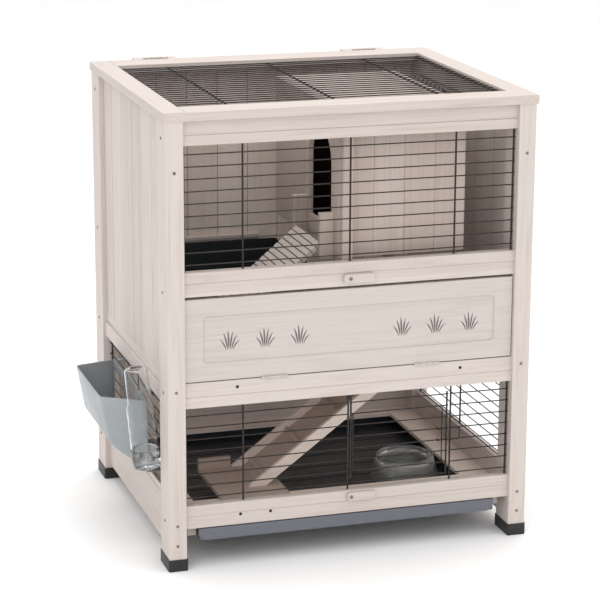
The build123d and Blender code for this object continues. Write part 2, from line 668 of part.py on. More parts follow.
def make_lid():
    """The lid's frame, its grille with a sliding loop, and the blocks that carry its hinges."""
    with BuildPart() as lid_side_boards:
        for side in SIDES:
            edge = across(side, (-LID_OVERHANG, LID_SIDE_IN))
            board(edge, (-LID_FRONT, LID_BACK), (LID_BOTTOM, LID_TOP), along="y")
        opening_y = (LID_FRONT_BOARD_BACK, LID_BACK_BOARD_FRONT)
        cut((LID_SIDE_IN - LID_GROOVE_END, WIDTH - LID_SIDE_IN + LID_GROOVE_END), opening_y, LID_GROOVE_Z)
    keep(lid_side_boards, "lid_side_boards")

    with BuildPart() as lid_long_boards:
        between = (LID_SIDE_IN, WIDTH - LID_SIDE_IN)
        board(between, (-LID_FRONT, LID_FRONT_BOARD_BACK), (LID_BOTTOM, LID_TOP))
        board(between, (LID_BACK_BOARD_FRONT, LID_BACK), (LID_BOTTOM, LID_TOP))
        groove_y = (LID_FRONT_BOARD_BACK - LID_GROOVE_END, LID_BACK_BOARD_FRONT + LID_GROOVE_END)
        cut(between, groove_y, LID_BAR_GROOVE_Z)
    keep(lid_long_boards, "lid_long_boards")

    with BuildPart() as lid_grille:
        wire_x = (LID_SIDE_IN - WIRE_SEAT, WIDTH - LID_SIDE_IN + WIRE_SEAT)
        bar_y = (LID_FRONT_BOARD_BACK - WIRE_SEAT, LID_BACK_BOARD_FRONT + WIRE_SEAT)
        wires_along_x(wire_x, [(y, LID_WIRE_Z) for y in LID_WIRE_Y], THIN_WIRE)
        wires_along_y(bar_y, [(x, LID_BAR_Z) for x in LID_BAR_X], THICK_WIRE)
        loop_z = LID_WIRE_Z + THIN_WIRE + 0.1
        ends = [at(x, y, loop_z) for x, y in (
            (LID_LOOP_X[0], LID_LOOP_Y[1]), (LID_LOOP_X[0], LID_LOOP_Y[0]),
            (LID_LOOP_X[1], LID_LOOP_Y[0]), (LID_LOOP_X[1], LID_LOOP_Y[1]))]
        with BuildLine() as loop:
            FilletPolyline(*ends, radius=LID_LOOP_CORNER)
        with BuildSketch(Plane(origin=ends[0], z_dir=(0, -1, 0))):
            Circle(THIN_WIRE / 2)
        sweep(path=loop.line)
    keep(lid_grille, "lid_grille")

    with BuildPart() as lid_hinge_blocks:
        for x_span in HINGE_BLOCK_X:
            board(x_span, (DEPTH, HINGE_BLOCK_BACK), (UPPER_HEAD[1], LID_TOP))
    keep(lid_hinge_blocks, "lid_hinge_blocks")


# ---------------------------------------------------------------- side and back walls

def make_side_walls(side):
    """One side: upright boards above, rails round the lower window, and its wires."""
    with BuildPart() as panel:
        for low, high in zip(SIDE_BOARD_EDGES, SIDE_BOARD_EDGES[1:]):
            block(across(side, PANEL_X), shrunk((low, high)), (PANEL_BOTTOM, BODY_TOP))
        upright = panel.edges().filter_by(Axis.Z).group_by(Axis.X)
        chamfer(upright[0 if side == "left" else -1], BOARD_CHAMFER)
    keep(panel, f"{side}_side_panel")

    between = (POST_DEPTH, BACK_POST_FRONT)
    window_bottom, window_top = SIDE_WINDOW_Z
    with BuildPart() as rails:
        board(across(side, (11.0, 30.0)), between, (WINDOW_HEAD_TOP + JOINT_GAP, PANEL_BOTTOM), along="y")
        board(across(side, (6.5, 28.0)), between, (window_top, WINDOW_HEAD_TOP), along="y")
        board(across(side, (14.0, 30.0)), between, (BASE_BOARD_Z[1] + JOINT_GAP, window_bottom), along="y")
        board(across(side, (13.0, 31.0)), between, BASE_BOARD_Z, along="y")
        board(across(side, (PANEL_X[1], INNER_LEFT)), between, TOP_RAIL_Z, along="y")
        cut(across(side, SIDE_GROOVE_X), between, (window_top, window_top + GROOVE_DEPTH))
        cut(across(side, SIDE_GROOVE_X), between, (window_bottom - GROOVE_DEPTH, window_bottom))
    keep(rails, f"{side}_side_rails")

    thin_x, thick_x = SIDE_THIN_X, SIDE_THICK_X
    if side == "right":
        thin_x, thick_x = WIDTH - SIDE_THIN_X, WIDTH - SIDE_THICK_X
    upright_z = (window_bottom - WIRE_SEAT, window_top + WIRE_SEAT)
    with BuildPart() as grille:
        wires_along_y((between[0] + 2, between[1] - 2), [(thin_x, z) for z in LOWER_WIRE_Z], THIN_WIRE)
        wires_along_z(upright_z, [(thick_x, y) for y in SIDE_WIRE_Y], THICK_WIRE)
    keep(grille, f"{side}_side_grille")


def make_back():
    """The back: upright boards above, level boards below, rails, and a ledge behind the upper tray."""
    edges = [INNER_LEFT] + [BACK_BOARD_WIDTH * i for i in range(1, 11)] + [INNER_RIGHT]
    with BuildPart() as back_upper_panel:
        for low, high in zip(edges, edges[1:]):
            block(shrunk((low, high)), BACK_PANEL_Y, (PANEL_BOTTOM, BODY_TOP))
        chamfer(back_upper_panel.edges().filter_by(Axis.Z), BACK_BOARD_CHAMFER)
    keep(back_upper_panel, "back_upper_panel")

    with BuildPart() as back_lower_panel:
        step = (SIDE_WINDOW_Z[1] - BASE_BOARD_Z[1]) / 3
        heights = [BASE_BOARD_Z[1] + step * i for i in range(4)]
        for low, high in zip(heights, heights[1:]):
            block((INNER_LEFT, INNER_RIGHT), BACK_PANEL_Y, shrunk((low, high)))
        chamfer(back_lower_panel.edges().filter_by(Axis.X), BACK_BOARD_CHAMFER)
    keep(back_lower_panel, "back_lower_panel")

    with BuildPart() as back_rails:
        board((INNER_LEFT, INNER_RIGHT), (BACK_PANEL_Y[1], DEPTH), TOP_RAIL_Z)
        board((INNER_LEFT, INNER_RIGHT), (INNER_BACK, DEPTH), (SIDE_WINDOW_Z[1], PANEL_BOTTOM))
        board((INNER_LEFT, INNER_RIGHT), (INNER_BACK, DEPTH), BASE_BOARD_Z)
        board((INNER_LEFT + 2, NEST_X[0] - 1), TRAY_LEDGE_Y, TRAY_LEDGE_Z)
    keep(back_rails, "back_rails")


# ---------------------------------------------------------------- floors and trays

def notch_for_posts(z_span):
    """Take the corner posts' sections out of a floor."""
    for side in SIDES:
        x_span = across(side, (INNER_LEFT - POST_NOTCH, INNER_LEFT))
        cut(x_span, (0, POST_DEPTH), z_span)
        cut(x_span, (BACK_POST_FRONT, DEPTH), z_span)


def make_floors():
    """The ledge round the litter tray, the upper floor with its hatch, battens, and the tray's runners."""
    with BuildPart() as floor_frame:
        block(LEDGE_X, (RAIL_BACK, LEDGE_OPENING_Y[0]), LEDGE_Z)
        block(LEDGE_X, (LEDGE_OPENING_Y[1], INNER_BACK), LEDGE_Z)
        block((LEDGE_X[0], LEDGE_OPENING_X[0]), shrunk(LEDGE_OPENING_Y), LEDGE_Z)
        block((LEDGE_OPENING_X[1], LEDGE_X[1]), shrunk(LEDGE_OPENING_Y), LEDGE_Z)
        notch_for_posts(LEDGE_Z)
    keep(floor_frame, "floor_frame")

    with BuildPart() as upper_floor:
        block((FLOOR_X[0], HATCH_X[0]), (RAIL_BACK, INNER_BACK), FLOOR_Z)
        block((HATCH_X[1], FLOOR_X[1]), (RAIL_BACK, INNER_BACK), FLOOR_Z)
        block(shrunk(HATCH_X), (RAIL_BACK, HATCH_Y[0]), FLOOR_Z)
        block(shrunk(HATCH_X), (HATCH_Y[1], INNER_BACK), FLOOR_Z)
        notch_for_posts(FLOOR_Z)
    keep(upper_floor, "upper_floor")

    with BuildPart() as floor_battens:
        for y_span in BATTEN_Y:
            board((INNER_LEFT, INNER_RIGHT), y_span, BATTEN_Z)
    keep(floor_battens, "floor_battens")

    with BuildPart() as tray_runners:
        for side in SIDES:
            board(across(side, RUNNER_X), RUNNER_Y, RUNNER_Z, along="y", rounding=1.0)
            cut(across(side, (RUNNER_GROOVE_X, RUNNER_X[1])), RUNNER_Y, RUNNER_GROOVE_Z)
    keep(tray_runners, "tray_runners")


def make_upper_tray():
    """A deep tray whose walls step outwards, with the wall towards the hatch cut low as a way in."""
    with BuildPart() as upper_tray:
        for low, high, inset in UPPER_TRAY_STEPS:
            block(inner_span(UPPER_TRAY_X, inset), inner_span(UPPER_TRAY_Y, inset), (low, high))
        fillet(upper_tray.edges().filter_by(Axis.Z), UPPER_TRAY_CORNER)
        for low, high, inset in UPPER_TRAY_STEPS:
            wall = inset + TRAY_WALL
            inside = (low + TRAY_WALL, high + TRAY_WALL)
            cut(inner_span(UPPER_TRAY_X, wall), inner_span(UPPER_TRAY_Y, wall), inside)
        cut(ENTRY_X, ENTRY_Y, (ENTRY_Z, UPPER_TRAY_STEPS[-1][1] + 1))
    keep(upper_tray, "upper_tray")


def make_litter_tray():
    """The litter tray: shallow, with a rounded front lip, side flanges and grooves across its floor."""
    lip_middle = (LITTER_LIP_X[0] + LITTER_LIP_X[1]) / 2
    lip_height = LITTER_Z[1] - LITTER_Z[0]
    with BuildPart() as litter_tray:
        block(LITTER_BODY_X, LITTER_BODY_Y, LITTER_Z)
        with BuildSketch(front_plane(lip_middle, LITTER_LIP_Y[1], LITTER_Z[0] + lip_height / 2)) as lip:
            Rectangle(LITTER_LIP_X[1] - LITTER_LIP_X[0], lip_height)
            fillet(lip.vertices().group_by(Axis.Y)[0], LITTER_LIP_CORNER)
        extrude(amount=LITTER_LIP_Y[1] - LITTER_LIP_Y[0])
        fillet(litter_tray.faces().sort_by(Axis.Y)[0].edges(), 2.0)
        block(LITTER_FLANGE_X, LITTER_FLANGE_Y, LITTER_FLANGE_Z)
        cut(inner_span(LITTER_BODY_X, TRAY_WALL), inner_span(LITTER_BODY_Y, TRAY_WALL),
            (LITTER_FLOOR, LITTER_Z[1] + 1))
        for y_span in LITTER_GROOVE_Y:
            cut(LITTER_GROOVE_X, y_span, (LITTER_FLOOR - LITTER_GROOVE_DEPTH, LITTER_FLOOR))
    keep(litter_tray, "litter_tray")


# ---------------------------------------------------------------- main ramp

def slope_plane(foot, top, y_span):
    """A ramp's upper face as a plane with its x uphill, and the ramp's length; foot and top hold (x, z)."""
    run = top[0] - foot[0]
    rise = top[1] - foot[1]
    angle = atan2(rise, run)
    plane = Plane(origin=at(foot[0], (y_span[0] + y_span[1]) / 2, foot[1]),
                  x_dir=(cos(angle), 0, sin(angle)), z_dir=(-sin(angle), 0, cos(angle)))
    return plane, hypot(run, rise)


def make_main_ramp():
    """The main ramp: a board between two rails with battens across, and the landing at its foot."""
    slope, length = slope_plane(RAMP_FOOT, RAMP_TOP, RAMP_Y)
    width = RAMP_Y[1] - RAMP_Y[0]
    middle = (length - RAMP_TAIL) / 2
    rail_height = RAMP_BOARD + RAMP_RAIL_RISE

    with BuildPart(slope) as main_ramp_board:
        with Locations((middle, 0, -RAMP_BOARD / 2)):
            Box(length + RAMP_TAIL, width - 2 * RAMP_RAIL, RAMP_BOARD)
        split(bisect_by=Plane.XY.offset(LANDING_TOP), keep=Keep.TOP)
    keep(main_ramp_board, "main_ramp_board")

    with BuildPart(slope) as main_ramp_side_rails:
        rail_y = (width - RAMP_RAIL) / 2
        with Locations(*[(middle, y, rail_height / 2 - RAMP_BOARD) for y in (-rail_y, rail_y)]):
            Box(length + RAMP_TAIL, RAMP_RAIL, rail_height)
        split(bisect_by=Plane.XY.offset(LANDING_TOP), keep=Keep.TOP)
    keep(main_ramp_side_rails, "main_ramp_side_rails")

    with BuildPart(slope) as main_ramp_battens:
        with Locations(*[(x, 0, RAMP_BATTEN_HEIGHT / 2) for x in RAMP_BATTEN_X]):
            Box(RAMP_BATTEN_WIDTH, width - 2 * RAMP_RAIL, RAMP_BATTEN_HEIGHT)
        tops = main_ramp_battens.faces().group_by(Axis(slope.origin, slope.z_dir))[-1]
        chamfer(tops.edges(), RAMP_BATTEN_CHAMFER)
    keep(main_ramp_battens, "main_ramp_battens")

    with BuildPart() as ramp_landing:
        block(LANDING_X, LANDING_Y, (LEDGE_Z[1], LANDING_TOP))
        block((LANDING_X[0], LANDING_UPSTAND_END), (LANDING_Y[1] - RAMP_RAIL, LANDING_Y[1]),
              (LANDING_TOP, LANDING_UPSTAND_TOP))
    keep(ramp_landing, "ramp_landing")


# ---------------------------------------------------------------- nest box

def make_nest():
    """The nest box: arched partition, boarded front wall, end and back walls, floor, roof, posts."""
    arch_radius = (ARCH_Y[1] - ARCH_Y[0]) / 2
    with BuildPart() as nest_partition:
        block((NEST_X[0], NEST_X[0] + NEST_BOARD), NEST_Y, NEST_Z)
        inward = Plane(origin=at(NEST_X[0] - 1, (ARCH_Y[0] + ARCH_Y[1]) / 2, ARCH_SILL),
                       x_dir=(0, 1, 0), z_dir=(1, 0, 0))
        with BuildSketch(inward):
            with Locations((0, ARCH_SHOULDER / 2)):
                Rectangle(2 * arch_radius, ARCH_SHOULDER)
            with Locations((0, ARCH_SHOULDER)):
                Circle(arch_radius)
        extrude(amount=NEST_BOARD + 2, mode=Mode.SUBTRACT)
    keep(nest_partition, "nest_partition")

    with BuildPart() as nest_front_wall:
        inner_x = (NEST_X[0] + NEST_BOARD, NEST_X[1])
        edges = [inner_x[0] + NEST_BOARD_WIDTH * i for i in range(4)] + [inner_x[1]]
        for low, high in zip(edges, edges[1:]):
            block(shrunk((low, high)), (NEST_Y[0], NEST_Y[0] + NEST_BOARD), NEST_Z)
        chamfer(nest_front_wall.edges().filter_by(Axis.Z), 0.8)
    keep(nest_front_wall, "nest_front_wall")

    inside_x = (NEST_X[0] + NEST_BOARD, NEST_X[1] - NEST_BOARD)
    inside_y = (NEST_Y[0] + NEST_BOARD, NEST_Y[1] - NEST_BOARD)
    with BuildPart() as nest_end_walls:
        block((inside_x[1], NEST_X[1]), shrunk(inside_y), NEST_Z)
        block((inside_x[0], NEST_X[1]), (inside_y[1], NEST_Y[1]), NEST_Z)
    keep(nest_end_walls, "nest_end_walls")

    with BuildPart() as nest_floor_and_roof:
        block(inside_x, inside_y, (NEST_Z[0], NEST_Z[0] + NEST_FLOOR))
        block(shrunk(inside_x), shrunk(inside_y), (NEST_Z[1] - NEST_FLOOR, NEST_Z[1]))
    keep(nest_floor_and_roof, "nest_floor_and_roof")

    with BuildPart() as nest_posts:
        board(NEST_POST_X, (RAIL_BACK, NEST_Y[0]), NEST_Z, along="z")
        for y_span in CHEEK_Y:
            board(CHEEK_X, y_span, CHEEK_Z, along="z")
        for x_span in NEST_LEG_X:
            board(x_span, NEST_LEG_Y, (FLOOR_Z[1], NEST_Z[0]), along="z")
    keep(nest_posts, "nest_posts")


def make_slatted_ramp():
    """The ramp to the nest box, grooved across at each slat."""
    slope, length = slope_plane(SLAT_FOOT, SLAT_TOP, SLAT_RAMP_Y)
    width = SLAT_RAMP_Y[1] - SLAT_RAMP_Y[0]
    with BuildPart(slope) as slatted_ramp:
        with Locations((length / 2, 0, -SLAT_THICKNESS / 2)):
            Box(length, width, SLAT_THICKNESS)
        steps = int(length / SLAT_PITCH)
        with Locations(*[(SLAT_PITCH * i, 0, 0) for i in range(1, steps + 1)]):
            Box(SLAT_GROOVE, width, 2 * SLAT_GROOVE, rotation=(0, 45, 0), mode=Mode.SUBTRACT)
    keep(slatted_ramp, "slatted_ramp")


# ---------------------------------------------------------------- feeder, bottle, bowl

def feeder_solid(inset, top):
    """The hopper's outer form, or its cavity when inset: a curved profile within a tapered plan."""
    outer_x = -FEEDER_REACH + inset
    inner_x = FEEDER_INNER_X - inset
    near, far = inner_span(FEEDER_INNER_Y, inset)
    outer_near, outer_far = inner_span(FEEDER_OUTER_Y, inset)
    corners = [at(x, y, 0)[:2] for x, y in (
        (inner_x, near), (outer_x, outer_near), (outer_x, outer_far), (inner_x, far))]
    front = [(x + inset, z + inset / 2) for x, z in FEEDER_FRONT]
    foot = (inner_x, FEEDER_FOOT_Z + inset)
    with BuildPart() as form:
        with BuildSketch(Plane.XY) as plan:
            with BuildLine():
                Polyline(*corners, close=True)
            make_face()
            fillet(plan.vertices().group_by(Axis.X)[0], FEEDER_CORNER - inset)
        extrude(amount=top)
        with BuildSketch(front_plane(0, 0, 0)):
            with BuildLine():
                Polyline((outer_x, top), *front, foot, (inner_x, top), close=True)
            make_face()
        extrude(amount=-DEPTH, mode=Mode.INTERSECT)
    return form.part


def make_hay_feeder():
    """The hay feeder: an open hopper with a slotted back and two hooks over the window's rail."""
    outer = feeder_solid(0.0, FEEDER_RIM)
    cavity = feeder_solid(FEEDER_WALL, FEEDER_RIM + 1.0)
    wall_x = (FEEDER_INNER_X - FEEDER_WALL, FEEDER_INNER_X)
    with BuildPart() as hay_feeder:
        add(outer)
        add(cavity, mode=Mode.SUBTRACT)
        for y_span in FEEDER_SLOT_Y:
            cut((wall_x[0] - 1, wall_x[1] + 1), y_span, FEEDER_SLOT_Z)
        for y in HOOK_Y:
            y_span = (y, y + HOOK_WIDTH)
            block(wall_x, y_span, (FEEDER_RIM - 8, HOOK_TOP))
            block((wall_x[0], HOOK_LIP_X[1]), y_span, (HOOK_TOP - HOOK_THICKNESS, HOOK_TOP))
            block(HOOK_LIP_X, y_span, (HOOK_LIP_BOTTOM, HOOK_TOP))
    keep(hay_feeder, "hay_feeder")


def make_water_bottle():
    """The leaning bottle, the cap ring round its neck, and the bent spout."""
    lean = radians(BOTTLE_LEAN)
    axis_plane = Plane(origin=at(BOTTLE_FOOT[0], BOTTLE_Y, BOTTLE_FOOT[1]),
                       x_dir=(cos(lean), 0, sin(lean)), z_dir=(0, -1, 0))
    axis = Axis(axis_plane.origin, axis_plane.y_dir)
    base = BOTTLE_CAP_FLOOR
    neck = BOTTLE_NECK_RADIUS
    wall = BOTTLE_WALL
    outside = [(0, base), (neck, base), (neck, BOTTLE_CAP_LENGTH), (BOTTLE_RADIUS, BOTTLE_CAP_LENGTH + 3),
               (BOTTLE_RADIUS, BOTTLE_SHOULDER), (BOTTLE_TOP_RADIUS, BOTTLE_SHOULDER + 8),
               (BOTTLE_TOP_RADIUS - 0.6, BOTTLE_LENGTH - 5), (BOTTLE_TOP_RADIUS - 5, BOTTLE_LENGTH),
               (0, BOTTLE_LENGTH)]
    inside = [(0, BOTTLE_LENGTH - wall), (BOTTLE_TOP_RADIUS - 6, BOTTLE_LENGTH - wall),
              (BOTTLE_TOP_RADIUS - 0.6 - wall, BOTTLE_LENGTH - 6),
              (BOTTLE_TOP_RADIUS - wall, BOTTLE_SHOULDER + 8),
              (BOTTLE_RADIUS - wall, BOTTLE_SHOULDER), (BOTTLE_RADIUS - wall, BOTTLE_CAP_LENGTH + 3),
              (neck - wall, BOTTLE_CAP_LENGTH), (neck - wall, base + wall), (0, base + wall)]
    with BuildPart() as water_bottle:
        with BuildSketch(axis_plane):
            with BuildLine():
                Polyline(*outside, *inside, close=True)
            make_face()
        revolve(axis=axis)
    keep(water_bottle, "water_bottle")

    with BuildPart() as bottle_cap:
        with BuildSketch(axis_plane):
            with BuildLine():
                Polyline((0, 0), (BOTTLE_CAP_RADIUS - 5, 0), (BOTTLE_CAP_RADIUS, 6),
                         (BOTTLE_CAP_RADIUS, BOTTLE_CAP_LENGTH), (neck, BOTTLE_CAP_LENGTH),
                         (neck, base), (0, base), close=True)
            make_face()
        revolve(axis=axis)
    keep(bottle_cap, "bottle_cap")

    with BuildPart() as bottle_spout:
        points = [at(BOTTLE_FOOT[0], BOTTLE_Y, SPOUT_TOP), at(BOTTLE_FOOT[0], BOTTLE_Y, SPOUT_Z),
                  at(SPOUT_TIP_X, BOTTLE_Y, SPOUT_Z)]
        with BuildLine() as route:
            FilletPolyline(*points, radius=SPOUT_BEND)
        with BuildSketch(Plane(origin=points[0], z_dir=(0, 0, -1))):
            Circle(SPOUT_RADIUS)
        sweep(path=route.line)
    keep(bottle_spout, "bottle_spout")


def make_food_bowl():
    """The bowl, whose outer wall is a hollow skirt that flares to the ground."""
    upright = Plane(origin=at(BOWL_X, BOWL_Y, BOWL_BASE_Z), x_dir=(1, 0, 0), z_dir=(0, -1, 0))
    with BuildPart() as food_bowl:
        with BuildSketch(upright):
            with BuildLine():
                Polyline((BOWL_BASE_RADIUS, 0), (BOWL_BASE_RADIUS, 3),
                         (BOWL_TOP_RADIUS, BOWL_HEIGHT - 1.5), (BOWL_TOP_RADIUS - 1.5, BOWL_HEIGHT),
                         (BOWL_TOP_RADIUS - BOWL_WALL, BOWL_HEIGHT - 1),
                         (BOWL_TOP_RADIUS - 7, 16), (BOWL_TOP_RADIUS - 14, BOWL_FLOOR + 2),
                         (0, BOWL_FLOOR + 1), (0, 1.5), (BOWL_TOP_RADIUS - 13, BOWL_FLOOR - 1),
                         (BOWL_TOP_RADIUS - 4.5, 14.5), (BOWL_TOP_RADIUS - 2, BOWL_HEIGHT - 8),
                         (BOWL_BASE_RADIUS - BOWL_SKIRT, 3), (BOWL_BASE_RADIUS - BOWL_SKIRT, 0), close=True)
            make_face()
        revolve(axis=Axis(upright.origin, upright.y_dir))
    keep(food_bowl, "food_bowl")


def main():
    """Build every piece and write its STEP file."""
    os.makedirs("parts", exist_ok=True)
    make_posts()
    make_foot_caps()
    make_plain_rails()
    make_window_rails()
    make_front_grilles()
    make_wire_door()
    make_wire_door_latch()
    make_drop_door()
    make_turn_button("door_turn_button", UPPER_PIVOT, UPPER_BUTTON)
    make_turn_button("tray_turn_button", LOWER_PIVOT, LOWER_BUTTON)
    make_fasteners()
    make_hinges()
    make_lid()
    for side in SIDES:
        make_side_walls(side)
    make_back()
    make_floors()
    make_upper_tray()
    make_litter_tray()
    make_main_ramp()
    make_nest()
    make_slatted_ramp()
    make_hay_feeder()
    make_water_bottle()
    make_food_bowl()


main()
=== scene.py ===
"""Looks for the two-storey rabbit hutch: whitewashed pine, dark wire, grey plastics and clear plastics."""

from __future__ import annotations

import logging
import math
from dataclasses import dataclass, field
from enum import Enum

import bmesh
import bpy
from mathutils import Matrix, Vector


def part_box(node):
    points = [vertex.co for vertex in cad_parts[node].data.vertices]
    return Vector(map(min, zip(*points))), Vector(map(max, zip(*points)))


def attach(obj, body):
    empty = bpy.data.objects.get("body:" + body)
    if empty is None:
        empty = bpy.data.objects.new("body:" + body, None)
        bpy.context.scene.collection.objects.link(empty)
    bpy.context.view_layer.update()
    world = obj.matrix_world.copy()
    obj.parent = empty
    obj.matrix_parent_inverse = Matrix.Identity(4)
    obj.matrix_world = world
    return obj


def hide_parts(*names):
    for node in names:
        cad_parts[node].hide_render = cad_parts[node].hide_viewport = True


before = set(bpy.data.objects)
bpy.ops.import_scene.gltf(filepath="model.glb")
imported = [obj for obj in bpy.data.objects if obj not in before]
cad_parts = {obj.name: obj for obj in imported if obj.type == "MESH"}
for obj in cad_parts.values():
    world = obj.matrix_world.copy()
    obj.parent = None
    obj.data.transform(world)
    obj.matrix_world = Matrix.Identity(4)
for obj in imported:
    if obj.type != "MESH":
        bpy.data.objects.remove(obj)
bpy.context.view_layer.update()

LOG = logging.getLogger("hutch")
MM = 0.001
Rgb = tuple[float, float, float]
JOINT_COLOR = (0.16, 0.115, 0.095, 1.0)
SLAT_GROOVE_COLOR = (0.13, 0.095, 0.08, 1.0)
CARVING_COLOR = (0.17, 0.145, 0.135, 1.0)
# Painted highlight for the tops of the litter tray's floor ribs.
TRAY_RIB_HIGHLIGHT_COLOR = (0.16, 0.18, 0.19, 1.0)
BLACK = (0.0, 0.0, 0.0, 1.0)
BOARD_OFFSET = 3.7


class Grain(Enum):
    """Direction of the grain, as texture scale along X, Y and Z."""

    ALONG_X = (1.4, 34.0, 34.0)
    ALONG_Y = (34.0, 1.4, 34.0)
    ALONG_Z = (34.0, 34.0, 1.4)


class Tone(Enum):
    """Pale and dark colours of the wash, outside and inside the hutch; some tones are made paler as painted
    light and some darker as painted shade.
    """

    OUTER = ((0.605, 0.540, 0.500), (0.435, 0.365, 0.325))
    DOOR = ((0.590, 0.535, 0.505), (0.420, 0.365, 0.335))
    # The wash made paler as painted light, for the inside of the hutch.
    INNER_LIT = ((0.870, 0.765, 0.700), (0.680, 0.555, 0.485))
    # The wash made darker as painted shade, for the nest box and its posts.
    NEST_SHADED = ((0.520, 0.440, 0.395), (0.370, 0.285, 0.240))
    # The wash made darker as painted shade, for the main ramp and its landing.
    RAMP_SHADED = ((0.520, 0.425, 0.370), (0.360, 0.270, 0.225))
    # Bare wood darkened as painted shade, for the inside of the closed nest box.
    BARE_AND_SHADED = ((0.105, 0.052, 0.032), (0.070, 0.034, 0.022))


# ---------------------------------------------------------------- shader tools

class Graph:
    """A thin typed wrapper round a node tree."""

    def __init__(self, tree: bpy.types.NodeTree) -> None:
        """Keep the tree.

        Args:
            tree: The material's or group's node tree.
        """
        self.tree = tree

    def add(self, kind: str, **settings: object) -> bpy.types.Node:
        """Add a node.

        Args:
            kind: Blender's node type name.
            settings: Properties to set on the node.

        Returns:
            The new node.
        """
        node = self.tree.nodes.new(kind)
        for key, value in settings.items():
            setattr(node, key, value)
        return node

    def feed(self, socket: bpy.types.NodeSocket, value: object) -> None:
        """Link or set a socket.

        Args:
            socket: The input to fill.
            value: An output socket to link, or a plain value.
        """
        if isinstance(value, bpy.types.NodeSocket):
            self.tree.links.new(value, socket)
        else:
            socket.default_value = value

    def math(self, operation: str, first: object, second: object = 0.0) -> bpy.types.NodeSocket:
        """Add a math node and return its output.

        Args:
            operation: Blender's operation name.
            first: First operand.
            second: Second operand.

        Returns:
            The value socket.
        """
        node = self.add("ShaderNodeMath", operation=operation)
        self.feed(node.inputs[0], first)
        self.feed(node.inputs[1], second)
        return node.outputs[0]

    def mix(self, factor: object, first: object, second: object) -> bpy.types.NodeSocket:
        """Mix two colours.

        Args:
            factor: Share of the second colour.
            first: First colour.
            second: Second colour.

        Returns:
            The mixed colour socket.
        """
        node = self.add("ShaderNodeMix", data_type="RGBA")
        self.feed(node.inputs[0], factor)
        self.feed(node.inputs[6], first)
        self.feed(node.inputs[7], second)
        return node.outputs[2]

    def noise(self, vector: object, scale: float, detail: float = 3.0) -> bpy.types.NodeSocket:
        """Add a noise texture and return its value.

        Args:
            vector: Texture coordinates.
            scale: Noise scale.
            detail: Octaves.

        Returns:
            The factor socket.
        """
        node = self.add("ShaderNodeTexNoise")
        self.feed(node.inputs["Vector"], vector)
        self.feed(node.inputs["Scale"], scale)
        self.feed(node.inputs["Detail"], detail)
        return node.outputs["Fac"]

    def place_group(self, tree: bpy.types.NodeTree, values: dict[str, object]) -> bpy.types.Node:
        """Place a shared effect and fill its inputs.

        Args:
            tree: The effect's node group.
            values: Input names, each with a socket to link or a plain value.

        Returns:
            The group's node.
        """
        node = self.add("ShaderNodeGroup", node_tree=tree)
        for label, value in values.items():
            self.feed(node.inputs[label], value)
        return node

    def spread(self, value: object, low: float, high: float, to_low: float = 0.0,
               to_high: float = 1.0) -> bpy.types.NodeSocket:
        """Map a range to another, clamped.

        Args:
            value: Input value.
            low: Start of the input range.
            high: End of the input range.
            to_low: Start of the output range.
            to_high: End of the output range.

        Returns:
            The mapped value socket.
        """
        node = self.add("ShaderNodeMapRange")
        self.feed(node.inputs[0], value)
        for socket, number in zip(list(node.inputs)[1:5], (low, high, to_low, to_high)):
            socket.default_value = number
        return node.outputs[0]


def new_group(name: str, inputs: dict[str, str], outputs: dict[str, str]) -> tuple[Graph, dict, dict]:
    """Start a node group with named sockets.

    Args:
        name: Group name.
        inputs: Input names and socket types.
        outputs: Output names and socket types.

    Returns:
        The graph, its input sockets by name, and its output sockets by name.
    """
    tree = bpy.data.node_groups.new(name, "ShaderNodeTree")
    for label, kind in inputs.items():
        tree.interface.new_socket(name=label, in_out="INPUT", socket_type=kind)
    for label, kind in outputs.items():
        tree.interface.new_socket(name=label, in_out="OUTPUT", socket_type=kind)
    graph = Graph(tree)
    start = graph.add("NodeGroupInput")
    end = graph.add("NodeGroupOutput")
    return graph, {k: start.outputs[k] for k in inputs}, {k: end.inputs[k] for k in outputs}


def pine_grain_group() -> bpy.types.NodeTree:
    """Fine fibres, growth lines, cloudy wash and a tone for each board.

    Returns:
        The node group.
    """
    graph, given, made = new_group(
        "pine_grain",
        {"Vector": "NodeSocketVector", "Grain Vector": "NodeSocketVector", "Pale": "NodeSocketColor",
         "Dark": "NodeSocketColor", "Streaks": "NodeSocketFloat", "Board": "NodeSocketFloat"},
        {"Color": "NodeSocketColor", "Height": "NodeSocketFloat", "Roughness": "NodeSocketFloat"})
    fibres = graph.noise(given["Grain Vector"], 5.5, 4.0)
    swell = graph.noise(given["Grain Vector"], 0.55, 2.0)
    lines = graph.math("SINE", graph.math("MULTIPLY", swell, 62.0))
    lines = graph.spread(lines, -0.2, 1.0)
    lines = graph.math("POWER", lines, 3.0)
    cloud = graph.noise(given["Vector"], 5.0, 3.0)
    tone = graph.add("ShaderNodeTexWhiteNoise", noise_dimensions="1D")
    graph.feed(tone.inputs["W"], given["Board"])
    fibre_mask = graph.spread(fibres, 0.42, 0.74)
    streaks = graph.math("ADD", graph.math("MULTIPLY", lines, 0.42),
                         graph.math("MULTIPLY", fibre_mask, 0.55))
    cloud_mask = graph.spread(cloud, 0.32, 0.7, 0.35, 1.0)
    amount = graph.math("MULTIPLY", graph.math("MULTIPLY", streaks, cloud_mask), given["Streaks"])
    amount = graph.math("ADD", amount, graph.math("MULTIPLY", tone.outputs["Value"], 0.28))
    graph.feed(made["Color"], graph.mix(amount, given["Pale"], given["Dark"]))
    graph.feed(made["Height"], graph.math("SUBTRACT", fibres, graph.math("MULTIPLY", lines, 0.25)))
    graph.feed(made["Roughness"], graph.spread(fibres, 0.3, 0.7, 0.52, 0.72))
    return graph.tree


